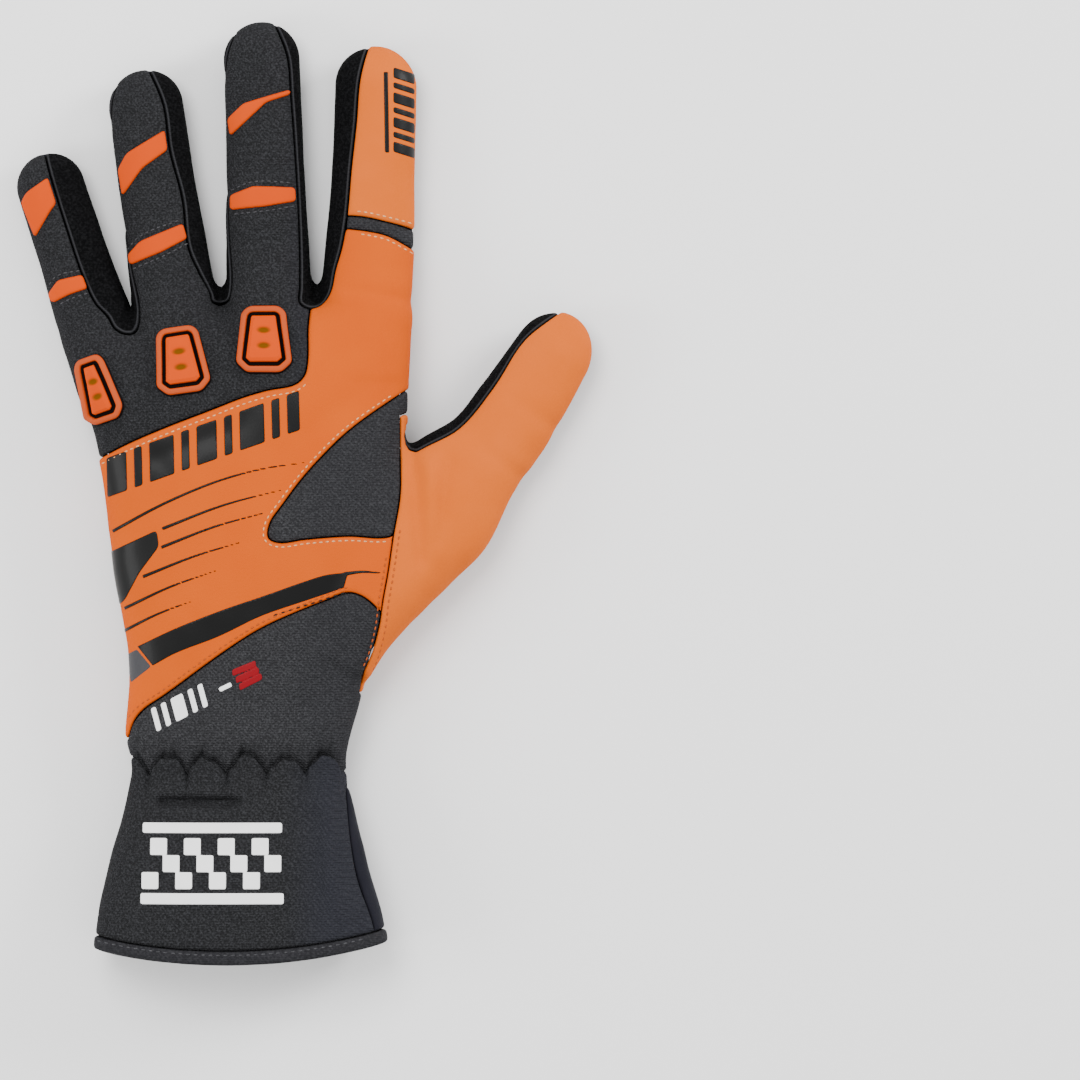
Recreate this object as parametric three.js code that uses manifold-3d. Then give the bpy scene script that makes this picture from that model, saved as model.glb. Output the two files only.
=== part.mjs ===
import * as THREE from "three";
import { mergeVertices } from "three/addons/utils/BufferGeometryUtils.js";
import Module from "manifold-3d";

// A long-cuffed karting glove for the left hand, lying palm down: fingers along +Y, thumb to +X,
// back up. Lengths are millimetres. Plan places are [across, along] shares of the hand or of a digit.

const wasm = await Module();
wasm.setup();

// Driving sizes of the hand, the cuff and the leather.
const handBreadth = 100; // across the knuckles
const handReach = 100; // wrist gather to the crotch of the thumb
const handDepth = 30; // palm to back of the hand
const cuffLength = 60.7; // wrist gather to the lowest point of the hem
const cuffBreadth = 90; // across the open mouth
const cuffDepth = 34; // height of the open mouth
const wall = 1.8; // leather or fabric with its foam
const seamGap = 0.3; // between neighbouring panels, and under what is laid on them
const seamHeight = 7.5; // side seam between the palm and everything above it
const bindingHeight = 4.3; // hem binding, along the cuff
const bindingProud = 0.6; // binding outside and inside the cuff's wall
const puckerCount = 12; // folds drawn up by the wrist elastic
const puckerDepth = 1.5;
const puckerReach = 11; // how far a fold runs each side of the gather
const gripThickness = 0.8; // silicone grips on the palm
const stripThickness = 0.8; // rubber strips on the fingers
const padHeight = 3; // knuckle pads above the leather
const padBevel = 0.9;
const padLength = 21.2;
const padBroad = 18.9; // towards the wrist
const padNarrow = 12.8; // towards the finger

// Fingers and thumb: root in hand shares, lean from +Y towards +X in degrees, sizes in millimetres.
const digits = {
  little: { root: [-0.58, 1.14], lean: -18, length: 77.8, width: 21, depth: 16.5, bow: 0 },
  ring: { root: [-0.365, 1.17], lean: -8.5, length: 98, width: 23.2, depth: 17.5, bow: -0.3 },
  middle: { root: [-0.106, 1.19], lean: -1.8, length: 109.9, width: 23.4, depth: 18, bow: 0 },
  index: { root: [0.172, 1.21], lean: 2.6, length: 100.2, width: 24.8, depth: 17.5, bow: 0.7 },
  thumb: { root: [0.16, 0.31], lean: 31.7, length: 125.6, width: 27.7, depth: 20, bow: 0 },
};

// Sections up to the round tip: along is a share of the length below the tip, left and right are
// shares of the digit's width from its axis, depth and lift off the palm are shares of its depth.
const fingerRows = [
  { along: 0, left: -0.42, right: 0.42, depth: 1.1, lift: 0.26 },
  { along: 0.2, left: -0.54, right: 0.54, depth: 1.32, lift: 0.04 },
  { along: 0.38, left: -0.55, right: 0.55, depth: 1.14, lift: 0 },
  { along: 0.68, left: -0.51, right: 0.51, depth: 1, lift: 0 },
  { along: 1, left: -0.5, right: 0.5, depth: 0.9, lift: 0 },
];
const thumbRows = [
  { along: 0, left: -0.5, right: 0.16, depth: 0.9, lift: 0.4 },
  { along: 0.12, left: -0.69, right: 0.21, depth: 1.2, lift: 0.2 },
  { along: 0.21, left: -0.76, right: 0.29, depth: 1.36, lift: 0.08 },
  { along: 0.34, left: -0.87, right: 0.42, depth: 1.42, lift: 0 },
  { along: 0.45, left: -0.92, right: 0.52, depth: 1.34, lift: 0 },
  { along: 0.62, left: -0.71, right: 0.47, depth: 1.12, lift: 0 },
  { along: 0.71, left: -0.52, right: 0.49, depth: 1.04, lift: 0 },
  { along: 0.83, left: -0.455, right: 0.5, depth: 1, lift: 0 },
  { along: 1, left: -0.4, right: 0.46, depth: 0.9, lift: 0 },
];
const tipRound = 0.5; // length of the round tip, as a share of the digit's width
const tipAngles = [38, 68];
const tipDepthKept = 0.35; // share of the depth left at the very tip
const leastHalf = 0.6; // least half size of a section, so that a narrow hollow keeps its sides
const leastShare = 0.25; // least half width that plan points near a tip count with, of the width

// Sections of the hand from the wrist gather to the finger crotches: shares of the hand's reach,
// breadth and depth. Slant turns a section so that it meets the row of finger roots.
const handRows = [
  { along: 0, left: -0.542, right: 0.128, depth: 0.82, slant: 0 },
  { along: 0.07, left: -0.552, right: 0.134, depth: 0.86, slant: 0 },
  { along: 0.18, left: -0.545, right: 0.165, depth: 0.88, slant: 0 },
  { along: 0.3, left: -0.542, right: 0.19, depth: 0.92, slant: 0 },
  { along: 0.6, left: -0.588, right: 0.28, depth: 1, slant: 0 },
  { along: 1.03, left: -0.65, right: 0.31, depth: 0.99, slant: 0.02 },
  { along: 1.16, left: -0.692, right: 0.313, depth: 0.96, slant: 0.06 },
  { along: 1.27, left: -0.7, right: 0.314, depth: 0.87, slant: 0.1 },
  { along: 1.36, left: -0.68, right: 0.3, depth: 0.75, slant: 0.12 },
  { along: 1.41, left: -0.62, right: 0.25, depth: 0.6, slant: 0.12 },
  { along: 1.45, left: -0.5, right: 0.13, depth: 0.42, slant: 0.07 },
];
const crotchRise = 4; // the middle of the row of crotches past the last section
// Sections of the cuff from just past the hem up to the gather: shares of the cuff's own sizes.
const cuffRows = [
  { down: 1.12, left: -0.72, right: 0.285, depth: 1.02 },
  { down: 0.85, left: -0.718, right: 0.275, depth: 1 },
  { down: 0.48, left: -0.668, right: 0.212, depth: 0.9 },
  { down: 0.28, left: -0.63, right: 0.18, depth: 0.81 },
  { down: 0.11, left: -0.607, right: 0.148, depth: 0.75 },
];
const hemMiddle = -0.27; // lowest point of the curved hem, across the cuff
const hemRise = 0.095; // rise of the hem's ends, as a share of the cuff's length
const hemReach = 0.75; // half the drawn hem curve, as a share of the cuff's breadth
const pastHem = 1.2; // outlines that run out past the hem, in cuff lengths
const hemSteps = 8;

// Flat sides round each form. The hollow inside has fewer.
const digitSides = 12;
const digitHollowSides = 8;
const bodySides = puckerCount * 3;
const bodyHollowSides = puckerCount * 2;
const digitSquareness = 2.3;
const bodySquareness = 2.8;
const restSink = 0.055; // share of a section's depth that lies flat on the palm's plane
const palmHeight = gripThickness + seamGap;
const clearHeight = handDepth + cuffDepth; // above everything
const clearReach = 2 * (handReach + digits.middle.length); // past everything, in plan
const mergeReach = 1e-5; // points nearer than this are one
const flattestCorner = 0.4; // limits how far a sharp corner moves when an outline grows

// Surface kinds: colour, roughness and metalness of each.
const finishes = {
  orangeLeather: { color: 0xde7a3e, roughness: 0.85, metalness: 0 },
  orangeRubber: { color: 0xeb5f23, roughness: 0.5, metalness: 0 },
  blackKnit: { color: 0x2d2d30, roughness: 0.95, metalness: 0 },
  blackStretch: { color: 0x19191b, roughness: 0.9, metalness: 0 },
  blackPalm: { color: 0x14141c, roughness: 0.8, metalness: 0 },
  blackSilicone: { color: 0x17181f, roughness: 0.2, metalness: 0 },
};

const radians = THREE.MathUtils.degToRad;
const glove = new THREE.Group();

// A closed mesh made a solid that can be joined and cut.
function solid(geometry) {
  const bare = geometry.clone();
  bare.deleteAttribute("normal");
  bare.deleteAttribute("uv");
  const merged = mergeVertices(bare, mergeReach);
  return new wasm.Manifold(new wasm.Mesh({
    numProp: 3,
    vertProperties: Float32Array.from(merged.attributes.position.array),
    triVerts: Uint32Array.from(merged.index.array),
  }));
}

// The largest connected piece of a solid, which leaves out slivers shaved off by a cut.
function largest(cut) {
  const parts = cut.decompose();
  parts.sort((one, other) => other.volume() - one.volume());
  return parts[0];
}

function addPiece(name, cut, finish) {
  const mesh = largest(cut).getMesh();
  const geometry = new THREE.BufferGeometry();
  geometry.setAttribute("position", new THREE.BufferAttribute(Float32Array.from(mesh.vertProperties), 3));
  geometry.setIndex(new THREE.BufferAttribute(Uint32Array.from(mesh.triVerts), 1));
  const piece = new THREE.Mesh(geometry, new THREE.MeshStandardMaterial(finishes[finish]));
  piece.name = name;
  glove.add(piece);
}

// A closed skin through rings of points, with a point at each end: rings run along the piece.
function loft(rings, start, end) {
  const sides = rings[0].length;
  const points = [...rings.flat(), start, end];
  const startIndex = rings.length * sides;
  const endIndex = startIndex + 1;
  const last = (rings.length - 1) * sides;
  const faces = [];
  for (let side = 0; side < sides; side += 1) {
    const next = (side + 1) % sides;
    faces.push(startIndex, side, next);
    faces.push(endIndex, last + next, last + side);
    for (let ring = 0; ring < last; ring += sides) {
      faces.push(ring + side, ring + sides + side, ring + next);
      faces.push(ring + next, ring + sides + side, ring + sides + next);
    }
  }
  const geometry = new THREE.BufferGeometry().setFromPoints(points);
  geometry.setIndex(faces);
  return solid(geometry);
}

// One point of a superellipse section: half sizes a and b, turned by angle.
function sectionPoint(a, b, squareness, angle) {
  const power = 2 / squareness;
  const cos = Math.cos(angle);
  const sin = Math.sin(angle);
  return [a * Math.sign(cos) * Math.abs(cos) ** power, b * Math.sign(sin) * Math.abs(sin) ** power];
}

const handPoint = (across, along) => new THREE.Vector2(across * handBreadth, along * handReach);

// Sections of a digit in millimetres, its round tip included. Those with a shift of 1 move along with
// the tip when the form grows.
function digitSections(name) {
  const digit = digits[name];
  const rows = name === "thumb" ? thumbRows : fingerRows;
  const tipLength = tipRound * digit.width;
  const straight = digit.length - tipLength;
  const sections = rows.map((row) => ({
    along: row.along * straight,
    middle: (row.left + row.right) / 2 * digit.width,
    half: (row.right - row.left) / 2 * digit.width,
    depth: row.depth * digit.depth,
    lift: row.lift * digit.depth,
    shift: 0,
  }));
  const last = sections[sections.length - 1];
  for (const angle of tipAngles) {
    const scale = Math.cos(radians(angle));
    sections.push({
      along: straight + tipLength * Math.sin(radians(angle)),
      middle: last.middle,
      half: last.half * scale,
      depth: last.depth * THREE.MathUtils.lerp(tipDepthKept, 1, scale),
      lift: 0,
      shift: 1,
    });
  }
  return sections;
}

// A plan point on a digit: along is a share of its length, across runs from -1, its left edge, to 1.
function digitPoint(name, along, across) {
  const digit = digits[name];
  const sections = digitSections(name);
  const reach = along * digit.length;
  let upper = sections.findIndex((section) => section.along >= reach);
  upper = upper < 0 ? sections.length - 1 : Math.max(upper, 1);
  const low = sections[upper - 1];
  const high = sections[upper];
  const mix = THREE.MathUtils.clamp((reach - low.along) / (high.along - low.along), 0, 1);
  const half = Math.max(THREE.MathUtils.lerp(low.half, high.half, mix), leastShare * digit.width);
  const side = THREE.MathUtils.lerp(low.middle, high.middle, mix) + across * half;
  return onDigit(digit, reach, side);
}

function onDigit(digit, reach, side) {
  const lean = radians(digit.lean);
  const bowed = side + digit.bow * Math.sin(Math.PI * reach / digit.length);
  const root = handPoint(...digit.root);
  return new THREE.Vector2(
    root.x + reach * Math.sin(lean) + bowed * Math.cos(lean),
    root.y + reach * Math.cos(lean) - bowed * Math.sin(lean),
  );
}

// A digit's outer form, grown by a distance, or shrunk if that is negative.
function digitForm(name, grown) {
  const digit = digits[name];
  const floor = palmHeight - grown;
  const sections = digitSections(name);
  const sides = grown < 0 ? digitHollowSides : digitSides;
  const rise = (section) => palmHeight + section.lift + section.depth * (0.5 - restSink);
  const ringAt = (section, reach) => {
    const points = [];
    for (let side = 0; side < sides; side += 1) {
      const angle = 2 * Math.PI * side / sides;
      const a = Math.max(section.half + grown, leastHalf);
      const b = Math.max(section.depth / 2 + grown, leastHalf);
      const [u, w] = sectionPoint(a, b, digitSquareness, angle);
      const plan = onDigit(digit, reach, section.middle + u);
      points.push(new THREE.Vector3(plan.x, plan.y, Math.max(rise(section) + w, floor)));
    }
    return points;
  };
  const rings = sections.map((section) => ringAt(section, section.along + section.shift * grown));
  const first = sections[0];
  const start = onDigit(digit, 0, first.middle);
  const tip = sections[sections.length - 1];
  const end = onDigit(digit, digit.length + grown, tip.middle);
  const startPoint = new THREE.Vector3(start.x, start.y, rise(first));
  const endPoint = new THREE.Vector3(end.x, end.y, rise(tip));
  return loft(rings, startPoint, endPoint);
}

// Sections of the cuff and the hand in millimetres, from past the hem to the finger crotches.
const bodySections = [
  ...cuffRows.map((row) => ({
    along: -row.down * cuffLength,
    left: row.left * cuffBreadth,
    right: row.right * cuffBreadth,
    depth: row.depth * cuffDepth,
    slant: 0,
  })),
  ...handRows.map((row) => ({
    along: row.along * handReach,
    left: row.left * handBreadth,
    right: row.right * handBreadth,
    depth: row.depth * handDepth,
    slant: row.slant,
  })),
];

// The form of the cuff and the hand, grown by a distance, puckered at the wrist gather.
function bodyForm(grown) {
  const floor = palmHeight - grown;
  const sides = grown < 0 ? bodyHollowSides : bodySides;
  const rise = (section) => palmHeight + section.depth * (0.5 - restSink);
  const rings = bodySections.map((section) => {
    const near = Math.max(0, 1 - Math.abs(section.along) / puckerReach);
    const middle = (section.left + section.right) / 2;
    const points = [];
    for (let side = 0; side < sides; side += 1) {
      const angle = 2 * Math.PI * side / sides;
      const ripple = puckerDepth * near * Math.cos(angle * puckerCount);
      const a = (section.right - section.left) / 2 + grown + ripple;
      const b = section.depth / 2 + grown + ripple;
      const [u, w] = sectionPoint(a, b, bodySquareness, angle);
      const y = section.along + section.slant * u;
      points.push(new THREE.Vector3(middle + u, y, Math.max(rise(section) + w, floor)));
    }
    return points;
  });
  const cap = (section, past) => new THREE.Vector3(
    (section.left + section.right) / 2,
    section.along + past,
    rise(section),
  );
  const last = bodySections[bodySections.length - 1];
  return loft(rings, cap(bodySections[0], -1), cap(last, crotchRise + grown));
}

// The whole glove's form at a distance outside its leather, or inside it if negative.
function gloveForm(grown) {
  let form = bodyForm(grown);
  for (const name of Object.keys(digits)) {
    form = form.add(digitForm(name, grown));
  }
  return form;
}

// A plan outline carried straight up between two heights.
function prism(outline, low = -clearHeight, high = clearHeight) {
  const depth = high - low;
  const shape = new THREE.Shape(outline);
  const geometry = new THREE.ExtrudeGeometry(shape, { depth, steps: 1, bevelEnabled: false });
  geometry.translate(0, 0, low);
  return solid(geometry);
}

// An outline moved outwards all round by a distance, or inwards if negative.
function growOutline(outline, distance) {
  const turn = THREE.ShapeUtils.area(outline) > 0 ? 1 : -1;
  return outline.map((point, index) => {
    const before = outline[(index + outline.length - 1) % outline.length];
    const after = outline[(index + 1) % outline.length];
    const into = point.clone().sub(before).normalize();
    const out = after.clone().sub(point).normalize();
    const normal = new THREE.Vector2(into.y + out.y, -into.x - out.x).normalize();
    const flat = Math.max(normal.x * into.y - normal.y * into.x, flattestCorner);
    return point.clone().addScaledVector(normal, turn * distance / flat);
  });
}

// The hem's curve across the cuff, a distance up from its edge.
function hemPoints(up) {
  const points = [];
  for (let step = 0; step <= hemSteps; step += 1) {
    const share = THREE.MathUtils.lerp(-hemReach, hemReach, step / hemSteps);
    const rise = hemRise * (2 * share) ** 2;
    points.push(new THREE.Vector2((hemMiddle + share) * cuffBreadth, up - (1 - rise) * cuffLength));
  }
  return points;
}

// The hollow shell, and the bands of it that the hem and the wrist gather bound.
const outer = gloveForm(0);
const hollow = gloveForm(-wall);
const shell = outer.subtract(hollow);
const farLeft = -clearReach;
const farRight = clearReach;
const plan = (x, y) => new THREE.Vector2(x, y);
const slab = (low, high) => prism([
  plan(farLeft, low), plan(farRight, low), plan(farRight, high), plan(farLeft, high),
]);
const aboveSeam = prism([
  plan(farLeft, farLeft), plan(farRight, farLeft), plan(farRight, farRight), plan(farLeft, farRight),
], seamHeight + seamGap / 2);
const belowSeam = prism([
  plan(farLeft, farLeft), plan(farRight, farLeft), plan(farRight, farRight), plan(farLeft, farRight),
], -clearHeight, seamHeight - seamGap / 2);

// Hem binding: a tape folded over the cuff's edge, proud of the wall on both sides.
const bindingShell = bodyForm(bindingProud).subtract(bodyForm(-wall - bindingProud));
const bindingBand = prism([...hemPoints(0), ...hemPoints(bindingHeight).reverse()]);
addPiece("hem_binding", bindingShell.intersect(bindingBand), "blackStretch");

// Cuff: a back panel over the wrist, and the palm side with the turned-up strip beside it.
const cuffBand = prism([
  ...hemPoints(bindingHeight + seamGap), plan(farRight, -seamGap / 2), plan(farLeft, -seamGap / 2),
]);
const cuff = shell.intersect(cuffBand);
const cuffSeam = [[0.129, -0.02], [0.138, -0.19], [0.164, -0.35], [0.215, -0.5], [0.235, -0.7]];
const cuffBackOutline = [
  plan(farLeft, -cuffLength * pastHem), plan(farLeft, cuffLength),
  plan(cuffSeam[0][0] * handBreadth, cuffLength),
  ...cuffSeam.map(([across, along]) => handPoint(across, along)),
];
addPiece("cuff_back", cuff.intersect(prism(cuffBackOutline)).intersect(aboveSeam), "blackKnit");
const cuffBackTool = prism(growOutline(cuffBackOutline, seamGap), seamHeight - seamGap / 2);
addPiece("cuff_palm", cuff.subtract(cuffBackTool), "blackPalm");

// Palm side of the hand: the thumb's ball and front are one panel, the palm and fingers the other.
const hand = shell.intersect(slab(seamGap / 2, clearReach));
const handBelow = hand.intersect(belowSeam);
let handAbove = hand.intersect(aboveSeam);
const thumbBall = [
  [0.4, 1.15], [0.33, 1.06], [0.25, 0.97], [0.17, 0.8], [0.13, 0.6], [0.12, 0.4], [0.13, 0.25], [0.17, 0.16],
  [0.6, 0], [1.3, 1], [1, 1.6],
].map(([across, along]) => handPoint(across, along));
addPiece("thumb_palm", handBelow.intersect(prism(thumbBall)), "blackPalm");
addPiece("palm_panel", handBelow.subtract(prism(growOutline(thumbBall, seamGap))), "blackPalm");

// Cuts one panel out of what is left of the upper shell, along a plan outline.
function cutPanel(name, outline, finish) {
  addPiece(name, handAbove.intersect(prism(outline)), finish);
  handAbove = handAbove.subtract(prism(growOutline(outline, seamGap)));
}

const onHand = (rows) => rows.map(([across, along]) => handPoint(across, along));
const onDigitRows = (name, rows) => rows.map(([along, across]) => digitPoint(name, along, across));

// Thumb: a narrow black strip runs round the crotch and up the inner side, orange covers the rest.
const thumbSeam = [[0.54, -0.82], [0.62, -0.76], [0.75, -0.75], [0.89, -0.8], [0.97, -0.74], [1.03, -0.4]];
cutPanel("thumb_web", [
  ...onHand([[0.3, 1.08], [0.302, 1.05], [0.318, 1.02], [0.335, 0.99]]),
  ...onDigitRows("thumb", thumbSeam),
  ...onDigitRows("thumb", [[1.04, -1.6], [0.9, -1.8], [0.74, -1.6], [0.66, -1.5]]),
  ...onHand([[0.44, 1.12], [0.38, 1.14]]),
], "blackStretch");
const thumbPanelSeam = [
  [0.297, 1.07], [0.297, 0.924], [0.294, 0.822], [0.275, 0.708], [0.257, 0.585], [0.242, 0.502],
  [0.231, 0.422], [0.208, 0.336], [0.181, 0.269], [0.172, 0.22],
];
cutPanel("thumb_panel", [
  ...onHand(thumbPanelSeam),
  ...onHand([[0.3, 0.18], [0.6, 0.2], [1.3, 1], [1.1, 1.6], [0.6, 1.4], [0.4, 1.14]]),
], "orangeLeather");

// Black insert between the index finger's root and the thumb, a rounded triangle.
cutPanel("side_insert", onHand([
  [0.4, 1.2], [0.302, 1.14], [0.18, 1.056], [0.121, 1.009], [0.054, 0.943], [-0.006, 0.876], [-0.066, 0.796],
  [-0.106, 0.736], [-0.109, 0.696], [-0.086, 0.683], [0.001, 0.692], [0.134, 0.702], [0.254, 0.699],
  [0.285, 0.71], [0.4, 0.72],
]), "blackKnit");

// Fourchettes: the strips between two fingers, from one finger's seam round the crotch to the next.
// Each seam is a list of [along, across] on its finger, from the crotch to the tip.
const fourchettes = [
  {
    name: "little_ring_fourchette", left: "little", right: "ring", crotch: [-0.537, 1.325],
    leftSeam: [[0.24, 0.86], [0.29, 0.46], [0.36, 0.22], [0.46, 0.12], [0.7, 0.09], [0.86, 0.1], [1.03, 0.3]],
    rightSeam: [[0.23, -0.9], [0.4, -0.94], [0.9, -0.94], [1, -1.1]],
  },
  {
    name: "ring_middle_fourchette", left: "ring", right: "middle", crotch: [-0.268, 1.418],
    leftSeam: [[0.27, 0.92], [0.34, 0.74], [0.42, 0.58], [0.58, 0.64], [0.74, 0.5], [0.88, 0.5], [1.03, 0.3]],
    rightSeam: [[0.24, -0.92], [0.4, -0.94], [0.9, -0.94], [1, -1.1]],
  },
  {
    name: "middle_index_fourchette", left: "middle", right: "index", crotch: [0.02, 1.405],
    leftSeam: [[0.23, 0.88], [0.32, 0.81], [0.5, 0.84], [0.79, 0.78], [0.9, 0.72], [1.03, 0.5]],
    rightSeam: [[0.23, -0.84], [0.31, -0.74], [0.38, -0.63], [0.47, -0.57], [0.62, -0.54], [0.76, -0.46],
      [0.9, -0.4], [1.03, -0.3]],
  },
];
for (const { name, left, right, crotch, leftSeam, rightSeam } of fourchettes) {
  cutPanel(name, [
    handPoint(...crotch), ...onDigitRows(left, leftSeam), ...onDigitRows(right, rightSeam).reverse(),
  ], "blackStretch");
}

// Index finger: orange tip panel, then a black stretch band let in across the middle joint.
const bandUpper = [[0.464, -1.3], [0.422, 1.6]];
const bandLower = [[0.376, 1.6], [0.426, -1.3]];
cutPanel("index_tip_panel", [
  ...onDigitRows("index", bandUpper), ...onDigitRows("index", [[0.6, 2], [1.1, 2], [1.1, -0.8], [0.6, -0.8]]),
], "orangeLeather");
cutPanel("index_stretch_band", [
  ...onDigitRows("index", bandUpper), ...onDigitRows("index", bandLower),
], "blackStretch");

// Wrist panel, black, below a seam that climbs from the little finger's side to the thumb.
const wristSeam = [
  [-0.75, 0], [-0.543, 0.109], [-0.506, 0.159], [-0.433, 0.209], [-0.333, 0.282], [-0.239, 0.349],
  [-0.132, 0.416], [-0.032, 0.462], [0.068, 0.502], [0.134, 0.526], [0.181, 0.512], [0.24, 0.46],
];
cutPanel("wrist_panel", [
  ...onHand(wristSeam), ...onHand([[0.5, 0.4], [0.5, -0.1], [-0.75, -0.1]]),
], "blackKnit");

// Back band, orange, from the wrist seam up to the knuckle seam and on along the index finger.
const knuckleSeam = [
  [-0.8, 0.87], [-0.631, 0.941], [-0.549, 0.981], [-0.422, 1.035], [-0.294, 1.084], [-0.192, 1.124],
  [-0.115, 1.147], [-0.024, 1.168], [0.002, 1.196], [0.01, 1.232], [0.012, 1.348], [0.02, 1.42],
];
cutPanel("back_band", [
  ...onHand(knuckleSeam), ...onHand([[0.1, 2], [0.9, 2], [0.9, -0.1], [-0.8, -0.1]]),
], "orangeLeather");
addPiece("knuckle_panel", handAbove, "blackKnit");

// What is laid on the leather: a layer between two distances from it, inside a plan outline.
const seat = gloveForm(seamGap);
const stripTop = gloveForm(seamGap + stripThickness);
const padTop = gloveForm(seamGap + padHeight);
const padShoulder = gloveForm(seamGap + padHeight - padBevel);

// Knuckle pads: blunt wedges with their broad end to the wrist.
const pads = [
  { name: "little_knuckle_pad", place: [-0.634, 1.152], turn: -18, size: 0.71, reach: 1 },
  { name: "ring_knuckle_pad", place: [-0.38, 1.239], turn: -8, size: 0.98, reach: 1 },
  { name: "middle_knuckle_pad", place: [-0.125, 1.304], turn: 0, size: 1, reach: 1 },
];
// A blunt wedge: shares of half the pad's length and of half its width there.
const padShape = [[-1, -0.57], [-1, 0.57], [-0.69, 1], [0.8, 1], [1, 0.7], [1, -0.7], [0.8, -1], [-0.69, -1]];
for (const { name, place, turn, size, reach } of pads) {
  const centre = handPoint(...place);
  const outline = padShape.map(([along, across]) => {
    const width = THREE.MathUtils.lerp(padBroad, padNarrow, (along + 1) / 2) * size;
    const point = plan(across * width / 2, along * reach * padLength / 2);
    return point.rotateAround(plan(0, 0), radians(-turn)).add(centre);
  });
  const foot = padShoulder.intersect(prism(outline, seamHeight));
  const crown = padTop.intersect(prism(growOutline(outline, -padBevel), seamHeight));
  addPiece(name, foot.add(crown).subtract(seat), "orangeRubber");
}

// Rubber strips over the finger joints, and slanted slashes near the tips: [along, across] corners.
const strips = [
  {
    name: "little_joint_strip", digit: "little",
    corners: [[0.46, -0.95], [0.5, -0.6], [0.49, 0.1], [0.43, 0.12], [0.43, -0.4], [0.42, -0.9]],
  },
  {
    name: "ring_joint_strip", digit: "ring",
    corners: [[0.43, -0.92], [0.465, -0.6], [0.5, 0.52], [0.45, 0.56], [0.42, -0.1], [0.395, -0.9]],
  },
  {
    name: "middle_joint_strip", digit: "middle",
    corners: [[0.515, -0.86], [0.537, -0.3], [0.53, 0.78], [0.49, 0.78], [0.478, 0], [0.472, -0.86]],
  },
  {
    name: "little_tip_slash", digit: "little",
    corners: [[0.84, -0.93], [0.87, -0.72], [0.9, 0.02], [0.79, 0.02], [0.77, -0.2], [0.69, -0.86]],
  },
  {
    name: "ring_tip_slash", digit: "ring",
    corners: [[0.7, -0.92], [0.745, -0.66], [0.8, 0.42], [0.735, 0.42], [0.69, -0.3], [0.615, -0.9]],
  },
  {
    name: "middle_tip_slash", digit: "middle",
    corners: [[0.73, -0.9], [0.77, -0.5], [0.805, 0.72], [0.79, 0.72], [0.77, 0.1], [0.68, -0.85]],
  },
];
for (const { name, digit, corners } of strips) {
  const layer = stripTop.intersect(prism(onDigitRows(digit, corners), seamHeight)).subtract(seat);
  addPiece(name, layer, "orangeRubber");
}

// Silicone grips under the palm and the digits, which the glove lies on.
const gripTop = gloveForm(seamGap + gripThickness);
function addGrip(name, outline) {
  addPiece(name, gripTop.intersect(prism(outline, -clearHeight, seamHeight)).subtract(seat), "blackSilicone");
}
addGrip("palm_band_grip", onHand([
  [0.22, 1.07], [0.255, 1.11], [0.262, 1.3], [0.19, 1.34], [-0.24, 1.3], [-0.49, 1.08], [-0.5, 1],
  [-0.46, 0.965], [-0.31, 0.965], [0.07, 1.05],
]));
addGrip("heel_grip", onHand([
  [-0.5, 0.5], [-0.46, 0.44], [-0.2, 0.5], [-0.15, 0.56], [-0.15, 0.84], [-0.2, 0.89], [-0.46, 0.87],
  [-0.51, 0.82],
]));
addGrip("thumb_ball_grip", onHand([
  [-0.07, 0.5], [-0.02, 0.44], [0.06, 0.46], [0.1, 0.6], [0.14, 0.79], [0.19, 0.9], [0.15, 0.96],
  [-0.03, 0.9], [-0.07, 0.84],
]));

// Linked blocks along a digit with a thin neck between two: lengths are shares of the pitch, breadths
// of the digit's half width.
const block = { length: 0.72, neckStart: 0.76, neckEnd: 0.96, breadth: 0.5, neckBreadth: 0.15 };
function blockChain(name, low, high, count) {
  const pitch = (high - low) / count;
  const right = [];
  for (let step = 0; step < count; step += 1) {
    const foot = low + step * pitch;
    right.push([foot, block.breadth], [foot + block.length * pitch, block.breadth]);
    if (step < count - 1) {
      right.push([foot + block.neckStart * pitch, block.neckBreadth]);
      right.push([foot + block.neckEnd * pitch, block.neckBreadth]);
    }
  }
  const left = right.map(([along, across]) => [along, -across]).reverse();
  return onDigitRows(name, [...right, ...left]);
}
const gripRuns = {
  little: { low: 0.36, high: 0.94, count: 3 },
  ring: { low: 0.38, high: 0.94, count: 3 },
  middle: { low: 0.36, high: 0.95, count: 3 },
  index: { low: 0.36, high: 0.95, count: 3 },
  thumb: { low: 0.66, high: 0.95, count: 2 },
};
for (const [name, { low, high, count }] of Object.entries(gripRuns)) {
  addGrip(`${name}_grip`, blockChain(name, low, high, count));
}

// The origin lies on the surface, under the middle of the glove.
const box = new THREE.Box3().setFromObject(glove);
const middle = box.getCenter(new THREE.Vector3());
glove.position.set(-middle.x, -middle.y, -box.min.z);

export default glove;
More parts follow.
